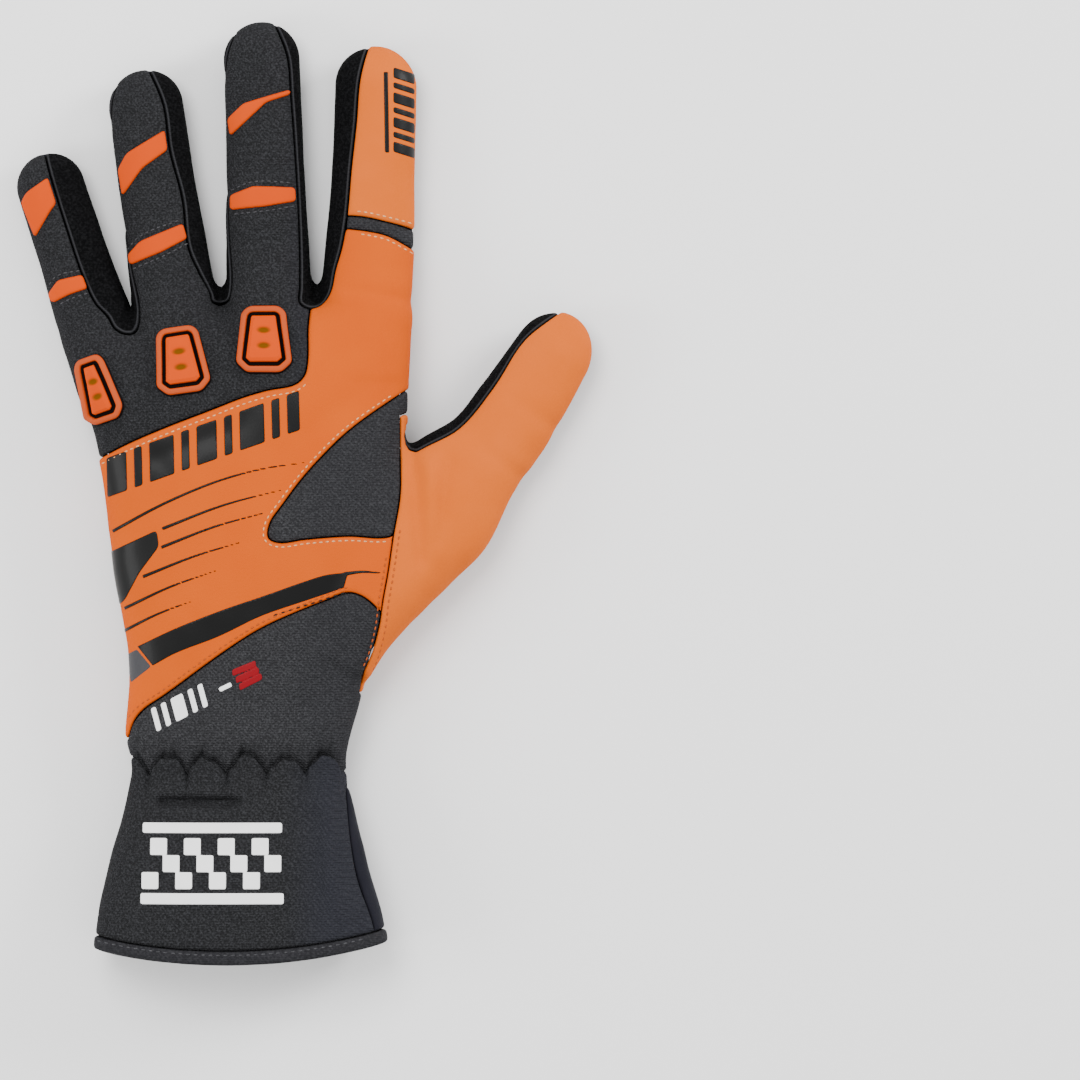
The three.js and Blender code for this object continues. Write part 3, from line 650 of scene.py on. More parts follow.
# Weave and grain: two effects that the fabrics, leathers and rubbers share. Weave is threads crossing
# at a right angle with a heather of lighter fibres; grain is fine pores over broad mottling.
def put(tree, kind, values=None, **settings):
    """A node in a tree: settings are its own properties, values go to its sockets, linked where a
    value is another node's socket."""
    made = tree.nodes.new(kind)
    for name, value in settings.items():
        setattr(made, name, value)
    for name, value in (values or {}).items():
        if isinstance(value, bpy.types.NodeSocket):
            tree.links.new(value, made.inputs[name])
        else:
            made.inputs[name].default_value = value
    return made


def new_effect(name, values, results):
    """A node group with named numbers going in and named numbers coming out."""
    tree = bpy.data.node_groups.new(name, "ShaderNodeTree")
    for title, value in values.items():
        socket = tree.interface.new_socket(title, in_out="INPUT", socket_type="NodeSocketFloat")
        socket.default_value = value
    for title in results:
        tree.interface.new_socket(title, in_out="OUTPUT", socket_type="NodeSocketFloat")
    return tree, tree.nodes.new("NodeGroupInput").outputs, tree.nodes.new("NodeGroupOutput").inputs


def maths(tree, operation, one, other):
    """The result of a sum or a product of two values in a tree."""
    return put(tree, "ShaderNodeMath", {0: one, 1: other}, operation=operation).outputs[0]


weave_effect, weave_in, weave_out = new_effect("weave", {"Thread": 400, "Heather": 900}, ("Height", "Fibre"))
place = put(weave_effect, "ShaderNodeTexCoord").outputs["Object"]
thread_wave = {"Vector": place, "Scale": weave_in["Thread"]}
warp, weft = (
    put(weave_effect, "ShaderNodeTexWave", {**thread_wave, "Distortion": waver},
        bands_direction=direction).outputs["Fac"]
    for waver, direction in ((1.2, "DIAGONAL"), (0.8, "Y"))
)
fibre = put(weave_effect, "ShaderNodeTexNoise",
            {"Vector": place, "Scale": weave_in["Heather"], "Detail": 3}).outputs["Fac"]
loose = maths(weave_effect, "ADD", fibre, maths(weave_effect, "MULTIPLY", warp, weft))
weave_effect.links.new(loose, weave_out["Height"])
lit_fibre = put(weave_effect, "ShaderNodeMapRange", {"Value": fibre, "From Min": 0.42, "From Max": 0.72})
weave_effect.links.new(lit_fibre.outputs["Result"], weave_out["Fibre"])

grain_effect, grain_in, grain_out = new_effect("grain", {"Pore": 1500, "Mottle": 60}, ("Height", "Mottle"))
place = put(grain_effect, "ShaderNodeTexCoord").outputs["Object"]
pores = put(grain_effect, "ShaderNodeTexNoise", {"Vector": place, "Scale": grain_in["Pore"], "Detail": 4})
mottle = put(grain_effect, "ShaderNodeTexNoise", {"Vector": place, "Scale": grain_in["Mottle"], "Detail": 5})
grain_effect.links.new(pores.outputs["Fac"], grain_out["Height"])
grain_effect.links.new(mottle.outputs["Fac"], grain_out["Mottle"])


def new_finish(name, dark, light, effect, effect_values, mask, bump, depth, sockets):
    """A material whose colour goes from dark to light with an effect's mask, and whose relief is the
    effect's height. Sockets holds the plain values of its shader."""
    made = bpy.data.materials.new(name)
    made.use_nodes = True
    tree = made.node_tree
    shader = tree.nodes["Principled BSDF"]
    for title, value in sockets.items():
        shader.inputs[title].default_value = value
    surface = put(tree, "ShaderNodeGroup", node_tree=effect)
    for title, value in effect_values.items():
        surface.inputs[title].default_value = value
    colours = {0: surface.outputs[mask], 6: (*dark, 1), 7: (*light, 1)}
    blend = put(tree, "ShaderNodeMix", colours, data_type="RGBA")
    tree.links.new(blend.outputs[2], shader.inputs["Base Color"])
    heights = {"Height": surface.outputs["Height"], "Strength": bump, "Distance": depth}
    relief = put(tree, "ShaderNodeBump", heights)
    tree.links.new(relief.outputs["Normal"], shader.inputs["Normal"])
    return made


def between(tree, value, low, high, soft):
    """A mask that is 1 where a value lies between two others, with edges as wide as soft."""
    rise = put(tree, "ShaderNodeMapRange", {"Value": value, "From Min": low - soft, "From Max": low + soft})
    fall = put(tree, "ShaderNodeMapRange", {"Value": value, "From Min": high + soft, "From Max": high - soft})
    return maths(tree, "MULTIPLY", rise.outputs["Result"], fall.outputs["Result"])


def painted_over(tree, mask, colour):
    """Lays a colour over what feeds the shader's base colour, where a mask is 1."""
    shader = tree.nodes["Principled BSDF"]
    under = shader.inputs["Base Color"].links[0].from_socket
    over = put(tree, "ShaderNodeMix", {0: mask, 6: under, 7: (*colour, 1)}, data_type="RGBA")
    tree.links.new(over.outputs[2], shader.inputs["Base Color"])


def carried(tree, title):
    """The value of an attribute that a piece's points carry."""
    return put(tree, "ShaderNodeAttribute", attribute_name=title).outputs["Fac"]


# Hem binding: a soft tape folded over the edge of the cuff's mouth and stitched through, 4.3 mm high,
# standing a little proud of the cuff on both sides. The hem is a shallow curve, lowest off centre.
binding_height = 4.3
binding_proud = 0.35
hem_middle = -0.27
hem_rise = 0.088

tape_black = new_finish(
    "tape_black", (0.015, 0.015, 0.017), (0.029, 0.029, 0.032), weave_effect,
    {"Thread": 520, "Heather": 1300}, "Fibre", 0.6, 0.0003,
    {"Roughness": 0.85, "Specular IOR Level": 0.06},
)


def hem_line(x):
    """Height in plan of the hem: a parabola across the cuff."""
    share = x / cuff_breadth - hem_middle
    return -(1 - 4 * hem_rise * share ** 2) * cuff_length


up_from_hem = skin_points[:, 1] - hem_line(skin_points[:, 0])
binding_border = np.maximum(-up_from_hem, up_from_hem - binding_height)
sewn_panel("hem_binding", binding_border, tape_black, binding_proud,
           wall + 2 * binding_proud, 1.4)

# Cuff: a heather knit panel over its back, and black synthetic leather under it that turns up beside
# the knit on the thumb's side. Both are drawn in by the elastic at the wrist.
cuff_seam = [(0.129, -0.02), (0.138, -0.19), (0.164, -0.35), (0.215, -0.5), (0.235, -0.7)]
far_side = 400


def new_knit(name, dark, light, painted_light_tint, share):
    """A heather knit whose colour is painted bluer towards the thumb's side, by a share: a painted tint for
    the light that falls from that side.
    """
    knit = new_finish(name, dark, light, weave_effect, {"Thread": 420, "Heather": 1700}, "Fibre", 0.8,
                      0.00035, {"Roughness": 0.9, "Specular IOR Level": 0.05})
    tree = knit.node_tree
    painted_over(tree, maths(tree, "MULTIPLY", carried(tree, "east"), share), painted_light_tint)
    return knit


# The last colour and share of each knit are painted light: a bluer tint towards the thumb's side, for the
# light from that side.
knit_black = new_knit("knit_black", (0.018, 0.018, 0.0195), (0.045, 0.0455, 0.049),
                      (0.018, 0.018, 0.021), 0.3)
knit_deep = new_knit("knit_deep", (0.0115, 0.0116, 0.0124), (0.0315, 0.032, 0.035),
                     (0.021, 0.022, 0.030), 0.5)
palm_suede = new_finish(
    "palm_suede", (0.006, 0.006, 0.009), (0.014, 0.014, 0.02), grain_effect, {"Pore": 1800, "Mottle": 90},
    "Mottle", 0.5, 0.0003, {"Roughness": 0.75, "Specular IOR Level": 0.05},
)
cuff_side = np.maximum(past_gather / scallop_slope + seam_gap / 2, binding_height + seam_gap - up_from_hem)
cuff_back_outline = np.concatenate([
    [(-far_side, -far_side), (-far_side, cuff_length), (cuff_seam[0][0] * hand_breadth, cuff_length)],
    smooth_line(on_hand(cuff_seam)), [(cuff_seam[-1][0] * hand_breadth, -far_side)],
])
cuff_back = np.maximum(along_skin(cuff_back_outline, skin_points, skin_normals), above_seam)
sewn_panel("cuff_back", np.maximum(cuff_back, cuff_side), knit_deep, folds=cuff_folds)
sewn_panel("cuff_palm", np.maximum(seam_gap - cuff_back, cuff_side), palm_suede)

# Palm: napped black synthetic leather from the wrist to the fingertips, with a panel of its own round
# the ball and the front of the thumb. Both end at the side seam, below the back's panels.
thumb_ball = on_hand([
    (0.4, 1.15), (0.33, 1.06), (0.25, 0.97), (0.17, 0.8), (0.13, 0.6), (0.12, 0.4), (0.13, 0.25),
    (0.17, 0.16),
])
thumb_ball_outline = np.concatenate([smooth_line(thumb_ball), on_hand([(0.6, 0), (1.3, 1), (1, 1.6)])])
thumb_side = along_skin(thumb_ball_outline, skin_points, skin_normals)
palm_border = np.maximum(below_seam, hand_side)
sewn_panel("thumb_palm", np.maximum(thumb_side, palm_border), palm_suede)
sewn_panel("palm_panel", np.maximum(seam_gap - thumb_side, palm_border), palm_suede)

# What is cut from the back, one panel after the other; each is kept clear of those before it.
taken = np.maximum(above_seam, hand_side - tucked_under)


def back_panel(node, outline, finish, raised=0.0, folds=0.0):
    """A panel of the back: inside its outline, above the side seam and clear of the panels before it."""
    global taken
    inside = along_skin(outline, skin_points, skin_normals)
    piece = sewn_panel(node, np.maximum(inside, taken), finish, raised, folds=folds)
    taken = np.maximum(taken, seam_gap - inside)
    return piece


# Thumb: orange synthetic suede over its back, and a narrow black stretch strip that starts at the
# crotch and runs up its inner side to the tip.
orange_raise = 0.35
suede_grain = {"Pore": 1500, "Mottle": 55}
suede_sockets = {"Roughness": 0.85, "Specular IOR Level": 0.05}
orange_suede, pale_suede = (
    new_finish(title, dark, light, grain_effect, suede_grain, "Mottle", 0.45, 0.00025, suede_sockets)
    for title, dark, light in (
        ("orange_suede", (0.475, 0.063, 0.0005), (0.54, 0.085, 0.0015)),
        ("pale_suede", (0.51, 0.092, 0.004), (0.60, 0.122, 0.012)),
    )
)
stretch_black = new_finish(
    "stretch_black", (0.0022, 0.0022, 0.0024), (0.0078, 0.0078, 0.0084), weave_effect,
    {"Thread": 520, "Heather": 1300}, "Fibre", 0.6, 0.0003, {"Roughness": 0.9, "Specular IOR Level": 0.03},
)
rim_levels = (0.4, 0.85)
stretch_rim = between(stretch_black.node_tree, carried(stretch_black.node_tree, "inset"), *rim_levels, 0.2)
painted_over(stretch_black.node_tree, stretch_rim, (0.029, 0.029, 0.032))
thumb_seam = [(0.54, -0.82), (0.62, -0.76), (0.75, -0.75), (0.89, -0.8), (0.97, -0.74), (1.03, -0.4)]
back_panel("thumb_web", np.concatenate([
    on_hand([(0.312, 1.04), (0.306, 1.01), (0.31, 0.985), (0.322, 0.968), (0.342, 0.963)]),
    smooth_line(on_digit("thumb", thumb_seam)),
    on_digit("thumb", [(1.04, -1.6), (0.9, -1.8), (0.74, -1.6), (0.66, -1.5)]),
    on_hand([(0.44, 1.1), (0.38, 1.085)]),
]), stretch_black)
thumb_panel_seam = smooth_line(on_hand([
    (0.297, 1.07), (0.297, 0.924), (0.294, 0.822), (0.275, 0.708), (0.257, 0.585), (0.242, 0.502),
    (0.231, 0.422), (0.208, 0.336), (0.181, 0.269), (0.172, 0.22),
]))
back_panel("thumb_panel", np.concatenate([
    thumb_panel_seam, on_hand([(0.3, 0.18), (0.6, 0.2), (1.3, 1), (1.1, 1.6), (0.6, 1.4), (0.4, 1.1)]),
]), pale_suede, orange_raise)

# Side insert: a rounded triangle of the knit let in between the index finger and the thumb, so that
# the orange leather can stretch there. Its long edges are topstitched with light thread.
insert_seam = smooth_line(on_hand([
    (0.302, 1.14), (0.18, 1.056), (0.121, 1.009), (0.054, 0.943), (-0.006, 0.876), (-0.066, 0.796),
    (-0.106, 0.736), (-0.109, 0.696), (-0.086, 0.683), (0.001, 0.692), (0.134, 0.702), (0.254, 0.699),
    (0.285, 0.71),
]))
back_panel("side_insert", np.concatenate([on_hand([(0.4, 1.2)]), insert_seam, on_hand([(0.4, 0.72)])]),
           knit_black)

# Fourchettes: stretch strips between two fingers, from one finger's seam round the crotch to the
# next. Each seam runs from the crotch to the fingertip.
fourchettes = [
    {
        "node": "little_ring_fourchette", "left": "little", "right": "ring",
        "crotch": [(-0.584, 1.342), (-0.552, 1.326), (-0.527, 1.33)],
        "left_seam": [(0.3, 0.42), (0.36, 0.22), (0.46, 0.12), (0.7, 0.09), (0.86, 0.1), (1.03, 0.3)],
        "right_seam": [(0.23, -0.9), (0.4, -0.94), (0.9, -0.94), (1, -1.1)],
    },
    {
        "node": "ring_middle_fourchette", "left": "ring", "right": "middle",
        "crotch": [(-0.284, 1.426), (-0.264, 1.417), (-0.243, 1.425)],
        "left_seam": [(0.27, 0.92), (0.34, 0.74), (0.42, 0.58), (0.58, 0.64), (0.74, 0.5), (0.88, 0.5),
                      (1.03, 0.3)],
        "right_seam": [(0.24, -0.92), (0.4, -0.94), (0.9, -0.94), (1, -1.1)],
    },
    {
        "node": "middle_index_fourchette", "left": "middle", "right": "index",
        "crotch": [(-0.012, 1.418), (0.014, 1.405), (0.043, 1.411)],
        "left_seam": [(0.25, 0.79), (0.32, 0.81), (0.5, 0.84), (0.79, 0.78), (0.9, 0.72), (1.03, 0.5)],
        "right_seam": [(0.23, -0.84), (0.31, -0.74), (0.38, -0.63), (0.47, -0.57), (0.62, -0.54),
                       (0.76, -0.46), (0.9, -0.4), (1.03, -0.3)],
    },
]
for strip in fourchettes:
    strip["line"] = smooth_line(np.concatenate([
        on_digit(strip["left"], strip["left_seam"])[::-1], on_hand(strip["crotch"]),
        on_digit(strip["right"], strip["right_seam"]),
    ]))
    back_panel(strip["node"], strip["line"], stretch_black)

# Index finger: orange suede on the outer half of the finger, with a black stretch band let in across
# the middle joint.
band_upper = smooth_line(on_hand([
    (0.05, 1.692), (0.129, 1.689), (0.189, 1.683), (0.254, 1.668), (0.327, 1.649), (0.45, 1.6),
]))
band_lower = smooth_line(on_hand([
    (0.45, 1.52), (0.318, 1.595), (0.254, 1.628), (0.189, 1.643), (0.124, 1.65), (0.05, 1.654),
]))
back_panel("index_tip_panel", np.concatenate([
    band_upper, on_digit("index", [(0.6, 2), (1, 2.6)]),
    on_digit("index", [(1, 2.6), (1, -1.8), (0.6, -0.8)]) + (0, 14) * np.array([[1], [1], [0]]),
]), pale_suede, orange_raise)
back_panel("index_stretch_band", np.concatenate([band_upper, band_lower]), knit_black)

# Wrist panel: heather knit below a seam that climbs from the little finger's side to the thumb.
wrist_seam = smooth_line(on_hand([
    (-0.75, -0.12), (-0.58, 0.03), (-0.55, 0.08), (-0.532, 0.125), (-0.506, 0.159), (-0.433, 0.209),
    (-0.333, 0.282), (-0.239, 0.349), (-0.132, 0.416), (-0.032, 0.462), (0.068, 0.502), (0.134, 0.526),
    (0.181, 0.512), (0.24, 0.46),
]))
back_panel("wrist_panel", np.concatenate([wrist_seam, on_hand([(0.5, 0.4), (0.5, -0.1), (-0.75, -0.1)])]),
           knit_black, folds=wrist_folds)

# Back band: orange suede across the back of the hand and up the index finger, laid over the knit of
# the knuckles with a cut edge.
knuckle_seam = smooth_line(on_hand([
    (-0.8, 0.87), (-0.631, 0.941), (-0.549, 0.981), (-0.422, 1.035), (-0.294, 1.084), (-0.192, 1.124),
    (-0.115, 1.147), (-0.024, 1.168), (0.002, 1.196), (0.01, 1.232), (0.012, 1.348), (0.02, 1.42),
]))
band_end = on_hand([(0.1, 2), (0.9, 2), (0.9, -0.1), (-0.8, -0.1)])
back_panel("back_band", np.concatenate([knuckle_seam, band_end]), orange_suede,
           orange_raise)

# Knuckle panel: heather knit over the knuckles and the backs of three fingers: what is left.
sewn_panel("knuckle_panel", taken, knit_deep)


# Laid on the panels: all that is moulded, welded or printed on them follows the same skin, from
# triangles of it that are divided until they are fine enough.
skin_margin = 3
border_margin = 2
palm_facing = -0.2


def round_corners(corners, radius, count=5):
    """A closed outline whose corners are turned into short curves: a quadratic curve from a radius
    before each corner to a radius after it."""
    corners = np.array(corners, float)
    t = np.linspace(0, 1, count)[:, None]
    outline = []
    for before, corner, after in zip(np.roll(corners, 1, 0), corners, np.roll(corners, -1, 0)):
        to_before, to_after = before - corner, after - corner
        start = corner + to_before * min(radius / np.linalg.norm(to_before), 0.5)
        end = corner + to_after * min(radius / np.linalg.norm(to_after), 0.5)
        outline.append((1 - t) ** 2 * start + 2 * t * (1 - t) * corner + t ** 2 * end)
    return np.concatenate(outline)


def skin_inside(outlines, levels, splits=2, palm=False, flat=False):
    """The skin inside any of some outlines, on the back or on the palm, with lines along the levels:
    its points and directions, the distance inside the border, and its faces. Flat measures the
    distance in plan, as for something stiff that doesn't follow the skin's slope."""
    corners = np.concatenate(outlines)
    low, high = corners.min(0) - skin_margin, corners.max(0) + skin_margin
    near = ((skin_points[:, :2] > low) & (skin_points[:, :2] < high)).all(1)
    near &= skin_normals[:, 2] < palm_facing if palm else skin_points[:, 2] > seam_height
    rows = np.column_stack([skin_points, skin_normals])
    rows, faces = used_only(rows, skin_faces[near[skin_faces].all(1)])
    border = np.min([along_skin(outline, rows[:, :3], rows[:, 3:]) for outline in outlines], axis=0)
    points, faces = used_only(rows[:, :3], faces[(border[faces] < border_margin).any(1)])
    for _ in range(splits):
        points, faces = halved(points, faces)
    points, normals = settled(points, 1)
    tilt = normals * (0 if flat else 1)
    border = np.min([along_skin(outline, points, tilt) for outline in outlines], axis=0)
    rows, faces = cut_out(np.column_stack([points, border]), faces, levels)
    points, normals = settled(rows[:, :3], 1)
    return points, normals, -rows[:, 3], faces


def laid_on(name, nodes, outlines, levels, heights, finish, splits=2, backing=0.7, palm=False):
    """A piece on the skin: raised by heights at the levels of distance inside its outlines."""
    points, normals, inset, faces = skin_inside(outlines, levels, splits, palm)
    height = np.interp(-inset, levels[::-1], heights[::-1])
    return new_piece(name, points + normals * height[:, None], faces, finish, nodes, backing,
                     {"inset": inset})


# Knuckle pads: moulded rubber wedges welded to the knit, broad towards the wrist, with a black channel
# round a raised middle that has two small vents one above the other.
pad_length = 21.2
pad_broad = 18.9
pad_narrow = 12.8
pad_shape = [(-1, -0.57), (-1, 0.57), (-0.69, 1), (0.8, 1), (1, 0.7), (1, -0.7), (0.8, -1), (-0.69, -1)]
pad_levels = (0, -0.3, -0.75, -1.4, -2.0, -2.35, -3.2, -3.6, -4.5)
pad_heights = (0.1, 1.3, 2.0, 2.25, 2.15, 1.2, 1.3, 2.5, 3.0)
vent_depth = 0.6
vent_reach = 1.05
vent_squareness = 1.5
pad_wall = 1.2
vent_places = (-2.4, 2.3)
channel_levels = (2.2, 3.4)
knuckle_pads = [
    {"name": "little_knuckle_pad", "place": (-0.634, 1.152), "turn": -18, "size": 0.71},
    {"name": "ring_knuckle_pad", "place": (-0.38, 1.239), "turn": -8, "size": 0.98},
    {"name": "middle_knuckle_pad", "place": (-0.125, 1.304), "turn": 0, "size": 1},
]

rubber_orange = new_finish(
    "rubber_orange", (0.48, 0.043, 0.0003), (0.54, 0.057, 0.0006), grain_effect, {"Pore": 900, "Mottle": 70},
    "Mottle", 0.12, 0.0002, {"Roughness": 0.6, "Specular IOR Level": 0.03},
)
pad_rubber = rubber_orange.copy()
pad_rubber.name = "pad_rubber"
pad_tones = [
    {"by": "inset", "levels": (0.5, 2.1), "soft": 0.25, "colour": (0.40, 0.062, 0.016)},
    {"by": "inset", "levels": channel_levels, "soft": 0.08, "colour": (0.0025, 0.001, 0.001)},
    # Painted shadow: a dark line round the pad's foot, where shade falls between the pad and the knit.
    {"by": "inset", "levels": (-1, 0.4), "soft": 0.08, "colour": (0.008, 0.005, 0.005)},
    {"by": "vent", "levels": (0.55, 2), "soft": 0.3, "colour": (0.13, 0.045, 0.003)},
]
for tone in pad_tones:
    tree = pad_rubber.node_tree
    mask = between(tree, carried(tree, tone["by"]), *tone["levels"], tone["soft"])
    painted_over(tree, mask, tone["colour"])

for pad in knuckle_pads:
    lean = math.radians(pad["turn"])
    ahead = np.array([math.sin(lean), math.cos(lean)])
    aside = np.array([math.cos(lean), -math.sin(lean)])
    middle = on_hand([pad["place"]])[0]
    shape = np.array(pad_shape)
    forward = shape[:, :1] * pad_length / 2
    sideways = shape[:, 1:] * (pad_broad + (pad_narrow - pad_broad) * (shape[:, :1] + 1) / 2) / 2
    outline = round_corners(middle + forward * ahead + sideways * pad["size"] * aside, 1.5, 5)
    points, normals, inset, faces = skin_inside([outline], pad_levels, 2, flat=True)
    height = np.interp(-inset, pad_levels[::-1], pad_heights[::-1])
    off = points[:, :2] - middle
    beside_vent = (off @ aside / (2 * vent_reach * pad["size"])) ** 2
    vents = sum(
        np.exp(-(((off @ ahead - at) / vent_reach) ** 2 + beside_vent) ** vent_squareness)
        for at in vent_places
    )
    height = height - vent_depth * vents
    new_piece("moulded_" + pad["name"], points + normals * height[:, None], faces, pad_rubber,
              [pad["name"]], pad_wall, {"inset": inset, "vent": vents})

# Rubber strips over the finger joints and slanted slashes near the tips: thin orange rubber welded to
# the knit, with a rounded edge.
strip_levels = (0, -0.25, -0.6, -1.1)
strip_heights = (0.15, 0.75, 1.0, 1.08)
rubber_strips = [
    {"name": "little_joint_strip", "digit": "little",
     "corners": [(0.46, -0.95), (0.5, -0.6), (0.49, 0.1), (0.43, 0.12), (0.43, -0.4), (0.42, -0.9)]},
    {"name": "ring_joint_strip", "digit": "ring",
     "corners": [(0.43, -0.92), (0.465, -0.6), (0.5, 0.52), (0.45, 0.56), (0.42, -0.1), (0.395, -0.9)]},
    {"name": "middle_joint_strip", "digit": "middle",
     "corners": [(0.515, -0.86), (0.537, -0.3), (0.53, 0.74), (0.49, 0.74), (0.478, 0), (0.472, -0.86)]},
    {"name": "little_tip_slash", "digit": "little",
     "corners": [(0.84, -0.93), (0.87, -0.72), (0.9, 0.02), (0.79, 0.02), (0.77, -0.2), (0.69, -0.86)]},
    {"name": "ring_tip_slash", "digit": "ring",
     "corners": [(0.7, -0.92), (0.745, -0.66), (0.8, 0.42), (0.735, 0.42), (0.69, -0.3), (0.615, -0.9)]},
    {"name": "middle_tip_slash", "digit": "middle",
     "corners": [(0.73, -0.9), (0.77, -0.5), (0.805, 0.72), (0.79, 0.72), (0.77, 0.1), (0.68, -0.85)]},
]
for strip in rubber_strips:
    outline = round_corners(on_digit(strip["digit"], strip["corners"]), 1.1, 4)
    laid_on("welded_" + strip["name"], [strip["name"]], [outline], strip_levels, strip_heights, rubber_orange)

# Grips: glossy black silicone printed thick on the palm and the fronts of the digits, in a band under
# the knuckles, two patches, and rounded blocks linked by thin necks.
grip_levels = (0, -0.3, -0.8, -1.6)
grip_heights = (0.25, 0.8, 1.03, 1.1)
grip_wall = 0.9
silicone_black = new_finish(
    "silicone_black", (0.004, 0.004, 0.007), (0.009, 0.009, 0.013), grain_effect,
    {"Pore": 500, "Mottle": 120},
    "Mottle", 0.15, 0.0003, {"Roughness": 0.16, "Coat Weight": 0.6, "Coat Roughness": 0.08},
)
palm_grips = {
    "palm_band_grip": [(0.22, 1.07), (0.255, 1.11), (0.262, 1.3), (0.19, 1.34), (-0.24, 1.3), (-0.49, 1.08),
                       (-0.5, 1), (-0.46, 0.965), (-0.31, 0.965), (0.07, 1.05)],
    "heel_grip": [(-0.5, 0.5), (-0.46, 0.44), (-0.2, 0.5), (-0.15, 0.56), (-0.15, 0.84), (-0.2, 0.89),
                  (-0.46, 0.87), (-0.51, 0.82)],
    "thumb_ball_grip": [(-0.07, 0.5), (-0.02, 0.44), (0.06, 0.46), (0.1, 0.6), (0.14, 0.79), (0.19, 0.9),
                        (0.15, 0.96), (-0.03, 0.9), (-0.07, 0.84)],
}
for node, corners in palm_grips.items():
    laid_on("printed_" + node, [node], [round_corners(on_hand(corners), 3, 4)], grip_levels, grip_heights,
            silicone_black, 0, grip_wall, True)
grip_runs = {"little": (0.36, 0.94, 3), "ring": (0.38, 0.94, 3), "middle": (0.36, 0.95, 3),
             "index": (0.36, 0.95, 3), "thumb": (0.66, 0.95, 2)}
block_share = 0.74
block_half = 0.52
neck_half = 0.14
neck_start = 0.01


def block_on(name, first, last, half):
    """A block of a digit's front: between two shares of its length, and as wide both ways as half."""
    return on_digit(name, [(first, -half), (first, half), (last, half), (last, -half)])


for name, (first, last, count) in grip_runs.items():
    pitch = (last - first) / count
    starts = [first + k * pitch for k in range(count)]
    outlines = [round_corners(block_on(name, a, a + block_share * pitch, block_half), 2.6, 5) for a in starts]
    outlines.append(block_on(name, starts[0] + neck_start, starts[-1] + neck_start, neck_half))
    laid_on(f"printed_{name}_grip", [name + "_grip"], outlines, grip_levels, grip_heights, silicone_black,
            0, grip_wall, True)

# Prints: thin ink on the orange band, with tapering lines, two blocks, a broad swoosh and a row of
# slanted bars, and on the index finger; white and red bars on the wrist, and white chequers between
# two bars on the cuff.
print_levels = (0, -0.12)
print_heights = (0.02, 0.14)
print_wall = 0.25
grey_raise = 0.25
ink_shade = 0.88
line_width = 1.0
line_end = 0.35
bar_round = 0.5
inks = {
    "black": {"colour": (0.004, 0.004, 0.004), "slot": "black_silicone", "roughness": 0.4, "coat": 0.02},
    "grey": {"colour": (0.042, 0.042, 0.046), "slot": "black_silicone", "roughness": 0.5, "coat": 0.0},
    "white": {"colour": (0.9, 0.9, 0.9), "slot": "black_silicone", "roughness": 0.5, "coat": 0.0},
    "red": {"colour": (0.20, 0.0012, 0.006), "slot": "orange_rubber", "roughness": 0.5, "coat": 0.0},
}
for title, ink in inks.items():
    tone = np.array(ink["colour"])
    ink["finish"] = new_finish(
        "ink_" + title, tuple(tone * ink_shade), tuple(tone), grain_effect,
        {"Pore": 1200, "Mottle": 150}, "Mottle", 0.1, 0.0002,
        {"Roughness": ink["roughness"], "Specular IOR Level": 0.12, "Coat Weight": ink["coat"],
         "Coat Roughness": 0.12},
    )


def printed(name, outlines, ink, raised):
    """Ink inside some outlines, a tenth of a millimetre or so above the panel under it."""
    heights = tuple(raised + height for height in print_heights)
    finish, slot_name = inks[ink]["finish"], inks[ink]["slot"]
    return laid_on(name, [], outlines, print_levels, heights, finish, 1, print_wall)


def ribbon(points, width, end_width):
    """The outline of a band along a plan line whose width goes evenly from one end's to the other's."""
    line = smooth_line(points, 4) if len(points) > 2 else np.array(points, float)
    run = np.gradient(line, axis=0)
    run /= np.linalg.norm(run, axis=1, keepdims=True)
    half = np.linspace(width, end_width, len(line))[:, None] / 2
    left = np.stack([-run[:, 1], run[:, 0]], 1)
    return np.concatenate([line + left * half, (line - left * half)[::-1]])


def slanted_bars(start, end, height, widths, gap, lean):
    """Outlines of upright bars along a line: each leans forward by a share of its height."""
    start, end = np.array(start, float), np.array(end, float)
    run = (end - start) / np.linalg.norm(end - start)
    up = np.array([-run[1], run[0]]) * height + run * height * lean
    feet = [start + run * at for at in np.cumsum([0] + [width + gap for width in widths[:-1]])]
    return [round_corners([foot, foot + run * width, foot + run * width + up, foot + up], bar_round, 3)
            for foot, width in zip(feet, widths)]


band_lines = [
    [(-58.9, 71.6), (-43.3, 79.9), (-26.6, 86.9), (-13.2, 90.6), (0.1, 92.6)],
    [(-43.6, 72.3), (-25, 79.5), (-6.6, 84.3)],
    [(-43.9, 66.6), (-28, 72.8), (-11.9, 77.3)],
    [(-49.6, 57.6), (-34, 63.8), (-19.2, 68.3)],
    [(-55.3, 47.9), (-41, 54.6), (-26.6, 59.6)],
    [(-55.6, 40.9), (-45, 46.2), (-34.3, 50.2)],
]
band_ribbons = [ribbon(line, line_width, line_end) for line in band_lines]
printed("print_band_lines", band_ribbons, "black", orange_raise)
band_block = [(-62, 65), (-59.6, 65.3), (-45.3, 71.9), (-44.6, 66.9), (-50.6, 58.9), (-55.3, 50.2), (-62, 46)]
printed("print_band_block", [round_corners(band_block, 1.2, 3)], "black", orange_raise)
swoosh_top = [(-51.3, 36.2), (-39.9, 41.6), (-26.6, 46.9), (-9.2, 52.9), (0.1, 56.2), (6.8, 58.2),
              (13.4, 58.9)]
swoosh_foot = [(12.1, 54.2), (0.1, 50.2), (-13.2, 45.6), (-26.6, 39.2), (-39.9, 34), (-46.6, 30.3)]
swoosh = np.concatenate([smooth_line(swoosh_top), smooth_line(swoosh_foot)])
swoosh_tail = ribbon([(12, 58.4), (18, 59.1), (24.8, 58.6)], 1.2, 0.3)
printed("print_swoosh", [swoosh, swoosh_tail], "black", orange_raise)
grey_block = [(-55.2, 33.4), (-51.5, 35.4), (-47, 30), (-53.4, 24.9)]
printed("print_grey_block", [round_corners(grey_block, 0.6, 3)], "grey", grey_raise)
